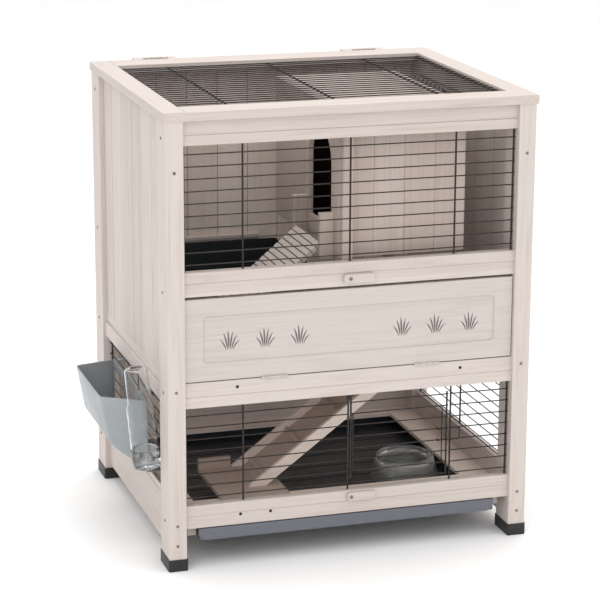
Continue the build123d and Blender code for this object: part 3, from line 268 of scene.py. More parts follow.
def moulded_group() -> bpy.types.NodeTree:
    """Moulded plastic: a fine pebble, soft colour drift and pale scuffs.

    Returns:
        The node group.
    """
    graph, given, made = new_group(
        "moulded_plastic",
        {"Vector": "NodeSocketVector", "Base": "NodeSocketColor", "Scuff": "NodeSocketColor",
         "Wear": "NodeSocketFloat"},
        {"Color": "NodeSocketColor", "Height": "NodeSocketFloat", "Roughness": "NodeSocketFloat"})
    pebble = graph.noise(given["Vector"], 900.0, 2.0)
    drift = graph.noise(given["Vector"], 7.0, 3.0)
    scuffs = graph.spread(graph.noise(given["Vector"], 60.0, 6.0), 0.6, 0.74)
    scuffs = graph.math("MULTIPLY", scuffs, given["Wear"])
    dark = graph.mix(0.22, given["Base"], BLACK)
    base = graph.mix(graph.spread(drift, 0.3, 0.7), given["Base"], dark)
    graph.feed(made["Color"], graph.mix(scuffs, base, given["Scuff"]))
    graph.feed(made["Height"], pebble)
    graph.feed(made["Roughness"], graph.spread(drift, 0.25, 0.75, 0.34, 0.52))
    return graph.tree


def pitted_group() -> bpy.types.NodeTree:
    """Coated metal: dull patches, uneven gloss and tiny pits.

    Returns:
        The node group.
    """
    graph, given, made = new_group(
        "pitted_metal",
        {"Vector": "NodeSocketVector", "Base": "NodeSocketColor", "Dull": "NodeSocketColor"},
        {"Color": "NodeSocketColor", "Height": "NodeSocketFloat", "Patches": "NodeSocketFloat"})
    patches = graph.spread(graph.noise(given["Vector"], 120.0, 4.0), 0.42, 0.68)
    graph.feed(made["Color"], graph.mix(patches, given["Base"], given["Dull"]))
    graph.feed(made["Height"], graph.noise(given["Vector"], 1500.0, 2.0))
    graph.feed(made["Patches"], patches)
    return graph.tree


def flow_group() -> bpy.types.NodeTree:
    """Clear moulded plastic: faint flow marks in tint, gloss and height.

    Returns:
        The node group.
    """
    graph, given, made = new_group(
        "flow_marks",
        {"Vector": "NodeSocketVector", "Pale": "NodeSocketColor", "Grey": "NodeSocketColor"},
        {"Color": "NodeSocketColor", "Height": "NodeSocketFloat", "Roughness": "NodeSocketFloat"})
    flow = graph.noise(given["Vector"], 45.0, 2.0)
    graph.feed(made["Color"], graph.mix(graph.spread(flow, 0.3, 0.7), given["Pale"], given["Grey"]))
    graph.feed(made["Height"], flow)
    graph.feed(made["Roughness"], graph.spread(flow, 0.3, 0.7, 0.02, 0.06))
    return graph.tree


class Effects:
    """The shared effects, built once."""

    def __init__(self) -> None:
        """Build the groups."""
        self.pine = pine_grain_group()
        self.moulded = moulded_group()
        self.pitted = pitted_group()
        self.flow = flow_group()


def start_material(name: str) -> tuple[bpy.types.Material, Graph, bpy.types.Node, bpy.types.NodeSocket]:
    """Make an empty material with a Principled shader.

    Args:
        name: Material name.

    Returns:
        The material, its graph, its shader and its object coordinates.
    """
    material = bpy.data.materials.new(name)
    material.use_nodes = True
    material.node_tree.nodes.clear()
    graph = Graph(material.node_tree)
    shader = graph.add("ShaderNodeBsdfPrincipled")
    end = graph.add("ShaderNodeOutputMaterial")
    graph.feed(end.inputs["Surface"], shader.outputs["BSDF"])
    place = graph.add("ShaderNodeTexCoord").outputs["Object"]
    return material, graph, shader, place


def bump(graph: Graph, shader: bpy.types.Node, height: object, strength: float, distance: float) -> None:
    """Add a bump to a shader.

    Args:
        graph: The material's graph.
        shader: The Principled shader.
        height: Height socket.
        strength: Bump strength.
        distance: Bump distance in metres.
    """
    node = graph.add("ShaderNodeBump")
    node.inputs["Strength"].default_value = strength
    node.inputs["Distance"].default_value = distance
    graph.feed(node.inputs["Height"], height)
    graph.feed(shader.inputs["Normal"], node.outputs["Normal"])


# ---------------------------------------------------------------- finishes

@dataclass(frozen=True)
class WhitewashedPine:
    """Whitewashed pine with the grain along one axis."""

    name: str
    grain: Grain
    tone: Tone
    board_axis: int = 0
    board_pitch: float = 72 * MM
    board_start: float = 0.0
    streaks: float = 0.62
    seams: tuple[float, ...] = ()
    seam_width: float = 1.6 * MM
    slat_pitch: float = 0.0
    slat_lean: float = 0.0
    slat_start: float = 0.0

    def build(self, effects: Effects) -> bpy.types.Material:
        """Make the material, with dark joints between boards and dark grooves between slats.

        Args:
            effects: Shared effects.

        Returns:
            The material.
        """
        material, graph, shader, place = start_material(self.name)
        color = self.dress(graph, shader, place, effects).outputs["Color"]
        split = graph.add("ShaderNodeSeparateXYZ")
        graph.feed(split.inputs[0], place)
        for seam in self.seams:
            distance = graph.math("ABSOLUTE", graph.math("SUBTRACT", split.outputs[self.board_axis], seam))
            line = graph.spread(distance, 0.35 * self.seam_width, self.seam_width, 0.72, 0.0)
            color = graph.mix(line, color, JOINT_COLOR)
        if self.slat_pitch:
            color = self.slat_lines(graph, split, color)
        graph.feed(shader.inputs["Base Color"], color)
        return material

    def slat_lines(self, graph: Graph, split: bpy.types.Node, color: bpy.types.NodeSocket,
                   ) -> bpy.types.NodeSocket:
        """Darken the grooves across a sloping slatted board.

        Args:
            graph: The material's graph.
            split: Separated object coordinates.
            color: Colour so far.

        Returns:
            The colour with the grooves.
        """
        along = graph.math("MULTIPLY", split.outputs["X"], math.cos(math.radians(self.slat_lean)))
        rise = graph.math("MULTIPLY", split.outputs["Z"], math.sin(math.radians(self.slat_lean)))
        along = graph.math("SUBTRACT", graph.math("ADD", along, rise), self.slat_start)
        turns = graph.math("ADD", graph.math("DIVIDE", along, self.slat_pitch), 0.5)
        phase = graph.math("ABSOLUTE", graph.math("SUBTRACT", graph.math("FRACT", turns), 0.5))
        return graph.mix(graph.spread(phase, 0.05, 0.12, 0.8, 0.0), color, SLAT_GROOVE_COLOR)

    def dress(self, graph: Graph, shader: bpy.types.Node, place: bpy.types.NodeSocket,
              effects: Effects) -> bpy.types.Node:
        """Wire the pine effect into a shader.

        Args:
            graph: The material's graph.
            shader: The Principled shader.
            place: Object coordinates.
            effects: Shared effects.

        Returns:
            The pine group's node.
        """
        split = graph.add("ShaderNodeSeparateXYZ")
        graph.feed(split.inputs[0], place)
        along = graph.math("SUBTRACT", split.outputs[self.board_axis], self.board_start)
        board = graph.math("FLOOR", graph.math("DIVIDE", along, self.board_pitch))
        shifted = graph.add("ShaderNodeVectorMath", operation="ADD")
        graph.feed(shifted.inputs[0], place)
        offset = graph.add("ShaderNodeCombineXYZ")
        for socket in offset.inputs:
            graph.feed(socket, graph.math("MULTIPLY", board, BOARD_OFFSET))
        graph.feed(shifted.inputs[1], offset.outputs[0])
        stretch = graph.add("ShaderNodeVectorMath", operation="MULTIPLY")
        graph.feed(stretch.inputs[0], shifted.outputs[0])
        stretch.inputs[1].default_value = self.grain.value
        pale, dark = self.tone.value
        node = graph.place_group(effects.pine, {
            "Vector": place, "Grain Vector": stretch.outputs[0], "Pale": (*pale, 1.0), "Dark": (*dark, 1.0),
            "Streaks": self.streaks, "Board": board})
        graph.feed(shader.inputs["Base Color"], node.outputs["Color"])
        graph.feed(shader.inputs["Roughness"], node.outputs["Roughness"])
        shader.inputs["Specular IOR Level"].default_value = 0.35
        bump(graph, shader, node.outputs["Height"], 0.35, 0.6 * MM)
        return node


@dataclass(frozen=True)
class CarvedDoorPine(WhitewashedPine):
    """Door pine whose cut grass blades are stained dark."""

    floor_y: float = 0.0
    carving_low: float = 0.0
    carving_high: float = 1.0

    def build(self, effects: Effects) -> bpy.types.Material:
        """Make the material, with the stain on surfaces below the recess's floor.

        Args:
            effects: Shared effects.

        Returns:
            The material.
        """
        material, graph, shader, place = start_material(self.name)
        pine = self.dress(graph, shader, place, effects)
        split = graph.add("ShaderNodeSeparateXYZ")
        graph.feed(split.inputs[0], place)
        deep = graph.math("GREATER_THAN", split.outputs["Y"], self.floor_y + 0.3 * MM)
        shallow = graph.math("LESS_THAN", split.outputs["Y"], self.floor_y + 3 * MM)
        above = graph.math("GREATER_THAN", split.outputs["Z"], self.carving_low)
        below = graph.math("LESS_THAN", split.outputs["Z"], self.carving_high)
        mask = deep
        for limit in (shallow, above, below):
            mask = graph.math("MULTIPLY", mask, limit)
        mask = graph.math("MULTIPLY", mask, graph.spread(graph.noise(place, 400.0), 0.2, 0.6, 0.72, 1.0))
        graph.feed(shader.inputs["Base Color"], graph.mix(mask, pine.outputs["Color"], CARVING_COLOR))
        return material


@dataclass(frozen=True)
class NestPine(WhitewashedPine):
    """Nest box pine: washed outside, and inside the box bare wood darkened as painted shade."""

    inside_low: tuple[float, float, float] = (0.0, 0.0, 0.0)
    inside_high: tuple[float, float, float] = (0.0, 0.0, 0.0)

    def build(self, effects: Effects) -> bpy.types.Material:
        """Make the material, with bare wood darkened as painted shade on every surface within the box's
        inside.

        Args:
            effects: Shared effects.

        Returns:
            The material.
        """
        material, graph, shader, place = start_material(self.name)
        pine = self.dress(graph, shader, place, effects)
        split = graph.add("ShaderNodeSeparateXYZ")
        graph.feed(split.inputs[0], place)
        mask: object = 1.0
        for axis in range(3):
            over = graph.math("GREATER_THAN", split.outputs[axis], self.inside_low[axis])
            under = graph.math("LESS_THAN", split.outputs[axis], self.inside_high[axis])
            mask = graph.math("MULTIPLY", mask, graph.math("MULTIPLY", over, under))
        # Dark bare wood as painted shade inside the closed box.
        pale, dark = Tone.BARE_AND_SHADED.value
        grain = graph.spread(graph.noise(place, 60.0), 0.3, 0.7)
        bare = graph.mix(grain, (*pale, 1.0), (*dark, 1.0))
        graph.feed(shader.inputs["Base Color"], graph.mix(mask, pine.outputs["Color"], bare))
        return material


@dataclass(frozen=True)
class MouldedPlastic:
    """Opaque moulded plastic."""

    name: str
    base: Rgb
    scuff: Rgb
    wear: float = 0.25
    pebble: float = 0.25

    def build(self, effects: Effects) -> bpy.types.Material:
        """Make the material.

        Args:
            effects: Shared effects.

        Returns:
            The material.
        """
        material, graph, shader, place = start_material(self.name)
        node = graph.place_group(effects.moulded, {"Vector": place, "Base": (*self.base, 1.0),
                                                   "Scuff": (*self.scuff, 1.0), "Wear": self.wear})
        graph.feed(shader.inputs["Base Color"], node.outputs["Color"])
        graph.feed(shader.inputs["Roughness"], node.outputs["Roughness"])
        bump(graph, shader, node.outputs["Height"], self.pebble, 0.2 * MM)
        return material


@dataclass(frozen=True)
class TrayPlastic(MouldedPlastic):
    """Tray plastic: a paler lip outside, and pale lines along the floor's grooves, painted as a highlight on
    the rib tops.
    """

    lip: Rgb = (0.12, 0.125, 0.15)
    lip_y: float = 0.0
    groove_start: float = 0.0
    groove_pitch: float = 77 * MM
    groove_share: float = 0.05
    floor_z: float = 0.0

    def build(self, effects: Effects) -> bpy.types.Material:
        """Make the material.

        Args:
            effects: Shared effects.

        Returns:
            The material.
        """
        material = super().build(effects)
        graph = Graph(material.node_tree)
        shader = next(node for node in material.node_tree.nodes if node.type == "BSDF_PRINCIPLED")
        inside = shader.inputs["Base Color"].links[0].from_socket
        split = graph.add("ShaderNodeSeparateXYZ")
        graph.feed(split.inputs[0], graph.add("ShaderNodeTexCoord").outputs["Object"])
        # Pale lines across the tray floor at the rib pitch: a painted highlight on the rib tops.
        along = graph.math("SUBTRACT", split.outputs["Y"], self.groove_start)
        phase = graph.math("FRACT", graph.math("DIVIDE", along, self.groove_pitch))
        line = graph.math("LESS_THAN", phase, self.groove_share)
        low = graph.math("LESS_THAN", split.outputs["Z"], self.floor_z)
        back = graph.math("GREATER_THAN", split.outputs["Y"], self.lip_y)
        line = graph.math("MULTIPLY", line, graph.math("MULTIPLY", low, back))
        color = graph.mix(graph.math("MULTIPLY", line, 0.8), inside, TRAY_RIB_HIGHLIGHT_COLOR)
        front = graph.math("LESS_THAN", split.outputs["Y"], self.lip_y)
        graph.feed(shader.inputs["Base Color"], graph.mix(front, color, (*self.lip, 1.0)))
        return material


@dataclass(frozen=True)
class ClearPlastic:
    """Clear moulded plastic with faint flow marks."""

    name: str
    tint: Rgb = (0.97, 0.98, 0.98)
    transmission: float = 1.0
    index: float = 1.3
    flow_shade: float = 0.95

    def build(self, effects: Effects) -> bpy.types.Material:
        """Make the material.

        Args:
            effects: Shared effects.

        Returns:
            The material.
        """
        material, graph, shader, place = start_material(self.name)
        grey = tuple(self.flow_shade * channel for channel in self.tint)
        node = graph.place_group(effects.flow, {"Vector": place, "Pale": (*self.tint, 1.0),
                                                "Grey": (*grey, 1.0)})
        graph.feed(shader.inputs["Base Color"], node.outputs["Color"])
        graph.feed(shader.inputs["Roughness"], node.outputs["Roughness"])
        shader.inputs["Transmission Weight"].default_value = self.transmission
        shader.inputs["Metallic"].default_value = 0.0
        shader.inputs["IOR"].default_value = self.index
        bump(graph, shader, node.outputs["Height"], 0.05, 0.3 * MM)
        return material


@dataclass(frozen=True)
class Metal:
    """Coated or plated metal with tiny pits."""

    name: str
    base: Rgb
    metallic: float
    rough: tuple[float, float]
    dull: Rgb

    def build(self, effects: Effects) -> bpy.types.Material:
        """Make the material.

        Args:
            effects: Shared effects.

        Returns:
            The material.
        """
        material, graph, shader, place = start_material(self.name)
        node = graph.place_group(effects.pitted, {"Vector": place, "Base": (*self.base, 1.0),
                                                  "Dull": (*self.dull, 1.0)})
        graph.feed(shader.inputs["Base Color"], node.outputs["Color"])
        graph.feed(shader.inputs["Roughness"], graph.spread(node.outputs["Patches"], 0.0, 1.0, *self.rough))
        shader.inputs["Metallic"].default_value = self.metallic
        bump(graph, shader, node.outputs["Height"], 0.2, 0.1 * MM)
        return material


# ---------------------------------------------------------------- mesh tools

def paint_node(node: str, material: bpy.types.Material) -> None:
    """Give a carried-over node its material.

    Args:
        node: CAD node name.
        material: The material.
    """
    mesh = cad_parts[node].data
    mesh.materials.clear()
    mesh.materials.append(material)


def finish_piece(mesh: bmesh.types.BMesh, name: str, material: bpy.types.Material, smooth: bool = True,
                 ) -> bpy.types.Object:
    """Turn a bmesh into a piece with one material.

    Args:
        mesh: The built mesh, which is freed.
        name: Piece name.
        material: Its material.
        smooth: Whether faces are shaded smooth.

    Returns:
        The new object.
    """
    bmesh.ops.recalc_face_normals(mesh, faces=mesh.faces[:])
    data = bpy.data.meshes.new(name)
    mesh.to_mesh(data)
    mesh.free()
    data.materials.append(material)
    for polygon in data.polygons:
        polygon.use_smooth = smooth
    piece = bpy.data.objects.new(name, data)
    bpy.context.scene.collection.objects.link(piece)
    return piece


def soften(piece: bpy.types.Object, width: float, segments: int = 2) -> None:
    """Round a piece's sharp edges.

    Args:
        piece: The object.
        width: Bevel width in metres.
        segments: Bevel segments.
    """
    bevel = piece.modifiers.new("rounding", "BEVEL")
    bevel.width = width
    bevel.segments = segments
    bevel.limit_method = "ANGLE"
    bevel.harden_normals = False


def lathe(profile: list[tuple[float, float]], place: Matrix, segments: int = 64, flutes: int = 0,
          flute_depth: float = 0.0, flute_span: tuple[float, float] = (0.0, 0.0)) -> bmesh.types.BMesh:
    """Turn a closed profile round the local Z axis.

    Args:
        profile: Radius and height of each point, in metres.
        place: Where the turned form stands.
        segments: Steps round.
        flutes: Number of upright flutes.
        flute_depth: Depth of the flutes in metres.
        flute_span: Heights between which the flutes fade in and out.

    Returns:
        The mesh.
    """
    mesh = bmesh.new()
    rings = []
    for radius, height in profile:
        low, high = flute_span
        inside = max(0.0, math.sin(math.pi * (height - low) / (high - low))) if low < height < high else 0.0
        ring = []
        for step in range(segments):
            turn = 2 * math.pi * step / segments
            wave = flute_depth * inside * 0.5 * (1 + math.cos(flutes * turn)) if flutes else 0.0
            spot = Vector(((radius - wave) * math.cos(turn), (radius - wave) * math.sin(turn), height))
            ring.append(mesh.verts.new(place @ spot))
        rings.append(ring)
    pairs = list(zip(rings, rings[1:])) + [(rings[-1], rings[0])]
    for first, second in pairs:
        for step in range(segments):
            after = (step + 1) % segments
            mesh.faces.new((first[step], first[after], second[after], second[step]))
    bmesh.ops.remove_doubles(mesh, verts=mesh.verts[:], dist=1e-6)
    return mesh


def add_box(mesh: bmesh.types.BMesh, low: Vector, high: Vector) -> None:
    """Add a box to a mesh.

    Args:
        mesh: The mesh.
        low: Lowest corner.
        high: Highest corner.
    """
    size = high - low
    place = Matrix.Translation((low + high) / 2) @ Matrix.Diagonal((*size, 1.0))
    bmesh.ops.create_cube(mesh, size=1.0, matrix=place)


# ---------------------------------------------------------------- sub-assemblies

@dataclass
class Woodwork:
    """Every carried-over wooden node, with its grain direction."""

    effects: Effects
    back_board: float = 72 * MM
    back_boards: int = 11
    back_overlap: float = 38 * MM
    nest_board: float = 68 * MM
    upright: tuple[str, ...] = ("post_front_left", "post_front_right", "post_back_left", "post_back_right")
    nest: tuple[str, ...] = ("nest_partition", "nest_front_wall", "nest_end_walls", "nest_floor_and_roof")
    nest_wall: float = 10 * MM
    side_boards: tuple[float, ...] = (99 * MM, 208 * MM, 272 * MM, 374 * MM, 469 * MM)
    ramp_lean: float = 40.0
    ramp_slat: float = 14 * MM
    ramp_thickness: float = 10 * MM
    level: tuple[str, ...] = ("front_top_rail", "upper_window_head", "upper_window_sill", "door_head_rail",
                              "door_sill_rail", "lower_window_head", "lower_window_sill",
                              "front_bottom_rail",
                              "lid_long_boards", "lid_hinge_blocks", "back_rails", "door_turn_button",
                              "tray_turn_button")
    level_inner: tuple[str, ...] = ("back_lower_panel", "floor_frame", "upper_floor", "floor_battens",
                                    "main_ramp_side_rails")
    level_ramp: tuple[str, ...] = ("main_ramp_board", "ramp_landing")
    deep: tuple[str, ...] = ("left_side_rails", "right_side_rails", "lid_side_boards", "tray_runners")

    def dress(self) -> None:
        """Give every wooden node its material."""
        # The inner tone is the wash made paler as painted light; the nest and ramp tones are the wash made
        # darker as painted shade.
        for nodes, grain, tone in ((self.upright, Grain.ALONG_Z, Tone.OUTER),
                                   (("nest_posts",), Grain.ALONG_Z, Tone.NEST_SHADED),
                                   (self.level, Grain.ALONG_X, Tone.OUTER),
                                   (self.level_inner, Grain.ALONG_X, Tone.INNER_LIT),
                                   (self.level_ramp, Grain.ALONG_X, Tone.RAMP_SHADED),
                                   (("main_ramp_battens",), Grain.ALONG_Y, Tone.RAMP_SHADED),
                                   (self.deep, Grain.ALONG_Y, Tone.OUTER)):
            for node in nodes:
                self.dress_one(node, grain, tone)
        self.dress_panels()
        self.dress_nest()
        self.dress_slatted_ramp()

    def dress_one(self, node: str, grain: Grain, tone: Tone) -> None:
        """Dress one node, whose boards are told apart by their height.

        Args:
            node: CAD node name.
            grain: Grain direction.
            tone: Wash tone.
        """
        axis = 0 if grain is Grain.ALONG_Z else 2
        finish = WhitewashedPine(f"pine_{node}", grain, tone, board_axis=axis, board_pitch=0.3)
        paint_node(node, finish.build(self.effects))

    def dress_panels(self) -> None:
        """Dress the boarded side and back panels board by board."""
        for side in ("left", "right"):
            node = f"{side}_side_panel"
            low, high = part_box(node)
            finish = WhitewashedPine(f"pine_{node}", Grain.ALONG_Z, Tone.OUTER, board_axis=1,
                                     board_pitch=(high.y - low.y) / (len(self.side_boards) + 1),
                                     board_start=low.y,
                                     seams=tuple(low.y + board for board in self.side_boards))
            paint_node(node, finish.build(self.effects))
        low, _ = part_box("back_upper_panel")
        start = low.x - self.back_overlap
        seams = tuple(start + self.back_board * step for step in range(1, self.back_boards))
        # The back panel takes the wash made paler as painted light.
        finish = WhitewashedPine("pine_back_upper_panel", Grain.ALONG_Z, Tone.INNER_LIT, board_axis=0,
                                 board_pitch=self.back_board, board_start=start, seams=seams,
                                 seam_width=1.0 * MM)
        paint_node("back_upper_panel", finish.build(self.effects))

    def dress_nest(self) -> None:
        """Dress the nest box: the wash darkened as painted shade outside, and bare wood darkened as painted
        shade inside.
        """
        partition_low, partition_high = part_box("nest_partition")
        wall_low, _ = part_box("nest_front_wall")
        _, end_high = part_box("nest_end_walls")
        margin = 0.3 * MM
        inside_low = (partition_high.x - margin, wall_low.y + self.nest_wall - margin,
                      partition_low.z + self.nest_wall / 2)
        inside_high = (end_high.x - self.nest_wall + margin, end_high.y - self.nest_wall + margin,
                       partition_high.z - self.nest_wall / 2)
        for node in self.nest:
            finish = NestPine(f"pine_{node}", Grain.ALONG_Z, Tone.NEST_SHADED, board_axis=0,
                              board_pitch=self.nest_board, board_start=partition_high.x,
                              inside_low=inside_low, inside_high=inside_high)
            paint_node(node, finish.build(self.effects))

    def dress_slatted_ramp(self) -> None:
        """Dress the nest box's ramp with a dark groove at each slat."""
        low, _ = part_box("slatted_ramp")
        lean = math.radians(self.ramp_lean)
        foot_z = low.z + self.ramp_thickness * math.cos(lean)
        start = low.x * math.cos(lean) + foot_z * math.sin(lean)
        finish = WhitewashedPine("pine_slatted_ramp", Grain.ALONG_Y, Tone.OUTER, board_axis=2,
                                 slat_pitch=self.ramp_slat, slat_lean=self.ramp_lean, slat_start=start)
        paint_node("slatted_ramp", finish.build(self.effects))


@dataclass
class DropDoor:
    """The drop door with its recessed panel and cut grass tufts."""

    effects: Effects
    recess_depth: float = 4 * MM
    carving_half: float = 45 * MM

    def dress(self) -> None:
        """Give the door its material."""
        low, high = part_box("drop_door")
        middle = (low.z + high.z) / 2
        finish = CarvedDoorPine("pine_drop_door", Grain.ALONG_X, Tone.DOOR, board_axis=2, board_pitch=1.0,
                                streaks=0.5, floor_y=low.y + self.recess_depth,
                                carving_low=middle - self.carving_half,
                                carving_high=middle + self.carving_half)
        paint_node("drop_door", finish.build(self.effects))


@dataclass
class Metalwork:
    """Grilles, wire door, hinges and screws."""

    effects: Effects
    wire: Metal = field(default_factory=lambda: Metal(
        "coated_wire", (0.008, 0.005, 0.004), 0.0, (0.42, 0.6), (0.020, 0.011, 0.008)))
    hinge: Metal = field(default_factory=lambda: Metal(
        "pale_hinge_metal", (0.58, 0.54, 0.49), 0.2, (0.35, 0.55), (0.44, 0.40, 0.35)))
    steel: Metal = field(default_factory=lambda: Metal(
        "zinc_steel", (0.27, 0.26, 0.245), 0.8, (0.28, 0.48), (0.14, 0.13, 0.12)))

    def dress(self) -> None:
        """Give every metal node its material."""
        groups = (
            (self.wire, ("upper_front_grille", "lower_front_grille", "left_side_grille", "right_side_grille",
                         "lid_grille", "wire_door", "wire_door_latch")),
            (self.hinge, ("hinge_fixed_leaves", "door_hinge_moving_leaves", "lid_hinge_moving_leaves")),
            (self.steel, ("cabinet_screws", "turn_button_screws", "bottle_spout")))
        for finish, nodes in groups:
            material = finish.build(self.effects)
            for node in nodes:
                paint_node(node, material)


@dataclass
class Plastics:
    """Trays, foot caps and plugs."""

    effects: Effects
    lip_width: float = 7.6 * MM
    first_groove: float = 56.5 * MM
    floor_height: float = 7.6 * MM

    def dress(self) -> None:
        """Give the carried-over plastic nodes their materials."""
        tray_low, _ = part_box("litter_tray")
        finishes = {
            "foot_caps": MouldedPlastic("foot_plastic", (0.012, 0.010, 0.009), (0.06, 0.055, 0.05), 0.3),
            "upper_tray": MouldedPlastic("tray_plastic", (0.026, 0.032, 0.034), (0.08, 0.095, 0.10), 0.2),
            "litter_tray": TrayPlastic("litter_plastic", (0.020, 0.028, 0.036), (0.07, 0.085, 0.10), 0.25,
                                       lip_y=tray_low.y + self.lip_width,
                                       groove_start=tray_low.y + self.first_groove,
                                       floor_z=tray_low.z + self.floor_height),
            "screw_plugs": MouldedPlastic("plug_plastic", (0.006, 0.006, 0.006), (0.05, 0.05, 0.05), 0.1),
        }
        for node, finish in finishes.items():
            paint_node(node, finish.build(self.effects))


@dataclass
class HayFeeder:
    """The hooked hopper: a curved shell with a dipping rim, a slotted back and two hooks."""

    effects: Effects
    wall: float = 2.4 * MM
    corner: float = 10 * MM
    levels: int = 26
    foot_drop: float = 148 * MM
    inner_taper: tuple[float, float] = (56 * MM, 21 * MM)
    rim_z: float = 326 * MM
    rim_dip: float = 7 * MM
    bow: float = 5 * MM
    rim_depth: float = 91 * MM
    bar_places: tuple[float, ...] = (0.0, 0.3, 0.64, 1.0)
    bar_half: float = 9 * MM
    foot_band: float = 24 * MM
    rim_band: float = 15 * MM
    hook_places: tuple[float, ...] = (0.146, 0.893)
    hook_half: float = 8 * MM
    hook_wall: float = 2.3 * MM
    hook_tip: float = 14.5 * MM
    back_x: float = 0.0

    def outer_depth(self, share: float) -> float:
        """Depth of the hopper at a share of its height, from the foot to the rim.

        Args:
            share: 0 at the foot and 1 at the rim.

        Returns:
            The depth as a share of the rim's depth.
        """
        belly = math.sin(min(share / 0.38, 1.0) * math.pi / 2) ** 0.8
        return 0.72 * belly + 0.28 * share ** 1.1

    def plan(self, share: float, low: Vector) -> list[Vector]:
        """Outline of the hopper at one height, from the back's near end round the front to its far end.

        Args:
            share: 0 at the foot and 1 at the rim.
            low: Lowest corner of the CAD feeder.

        Returns:
            The outline's points.
        """
        _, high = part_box("hay_feeder")
        reach = (self.back_x - low.x) * self.outer_depth(share)
        near, far = low.y, high.y
        scale = reach / (self.back_x - low.x)
        corner_near = Vector((self.back_x - reach, near + self.inner_taper[0] * scale, 0))
        corner_far = Vector((self.back_x - reach, far - self.inner_taper[1] * scale, 0))
        start = Vector((self.back_x, near, 0))
        end = Vector((self.back_x, far, 0))
        radius = min(self.corner, 0.45 * reach)
        points = [start]
        for before, corner, after in ((start, corner_near, corner_far), (corner_near, corner_far, end)):
            entry = corner + (before - corner).normalized() * radius
            leave = corner + (after - corner).normalized() * radius
            for step in range(6):
                t = step / 5
                points.append(entry * (1 - t) ** 2 + corner * 2 * t * (1 - t) + leave * t ** 2)
        points.append(end)
        height = self.rim_z - self.foot_drop * (1 - share)
        placed = []
        for point in points:
            across = (point.y - corner_near.y) / (corner_far.y - corner_near.y)
            sag = 4 * across * (1 - across) if 0 < across < 1 else 0.0
            placed.append(Vector((point.x - self.bow * scale * sag, point.y,
                                  height - self.rim_dip * sag * share ** 3)))
        return placed

    def build(self) -> None:
        """Build the hopper and its back."""
        low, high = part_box("hay_feeder")
        self.back_x = low.x + self.rim_depth
        finish = MouldedPlastic("feeder_plastic", (0.34, 0.365, 0.385), (0.55, 0.57, 0.58), 0.12, 0.15)
        material = finish.build(self.effects)
        mesh = bmesh.new()
        rows = []
        for level in range(self.levels + 1):
            share = (level / self.levels) ** 1.35
            share = max(share, 0.004)
            rows.append([mesh.verts.new(p) for p in self.plan(share, low)])
        for lower, upper in zip(rows, rows[1:]):
            for index in range(len(lower) - 1):
                mesh.faces.new((lower[index], lower[index + 1], upper[index + 1], upper[index]))
        shell = finish_piece(mesh, "hay_feeder_shell", material)
        solid = shell.modifiers.new("wall", "SOLIDIFY")
        solid.thickness = self.wall
        solid.offset = -1.0
        soften(shell, 0.7 * MM)
        self.ride(shell)

        backplate = finish_piece(self.back_mesh(low, high), "hay_feeder_back_and_hooks", material,
                                 smooth=False)
        soften(backplate, 0.5 * MM)
        self.ride(backplate)
        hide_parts("hay_feeder")

    def back_mesh(self, low: Vector, high: Vector) -> bmesh.types.BMesh:
        """Build the slotted back and its two hooks.

        Args:
            low: Lowest corner of the CAD feeder.
            high: Highest corner of the CAD feeder.

        Returns:
            The mesh.
        """
        back = bmesh.new()
        front_x, back_x = self.back_x - self.wall, self.back_x
        foot = self.rim_z - self.foot_drop
        for share in self.bar_places:
            y = low.y + (high.y - low.y) * share
            add_box(back, Vector((front_x, max(low.y, y - self.bar_half), foot)),
                    Vector((back_x, min(high.y, y + self.bar_half), self.rim_z)))
        for z_low, z_high in ((foot, foot + self.foot_band), (self.rim_z - self.rim_band, self.rim_z)):
            add_box(back, Vector((front_x + 0.1 * MM, low.y + MM, z_low)),
                    Vector((back_x - 0.1 * MM, high.y - MM, z_high)))
        for share in self.hook_places:
            y = low.y + (high.y - low.y) * share
            near, far = y - self.hook_half, y + self.hook_half
            add_box(back, Vector((front_x, near, self.rim_z - 10 * MM)), Vector((back_x, far, high.z)))
            add_box(back, Vector((front_x, near, high.z - self.hook_wall)), Vector((high.x, far, high.z)))
            add_box(back, Vector((high.x - self.hook_wall, near, high.z - self.hook_tip)),
                    Vector((high.x, far, high.z)))
        return back

    @staticmethod
    def ride(piece: bpy.types.Object) -> None:
        """Let a piece move with the feeder.

        Args:
            piece: The piece.
        """
        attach(piece, "hay_feeder")


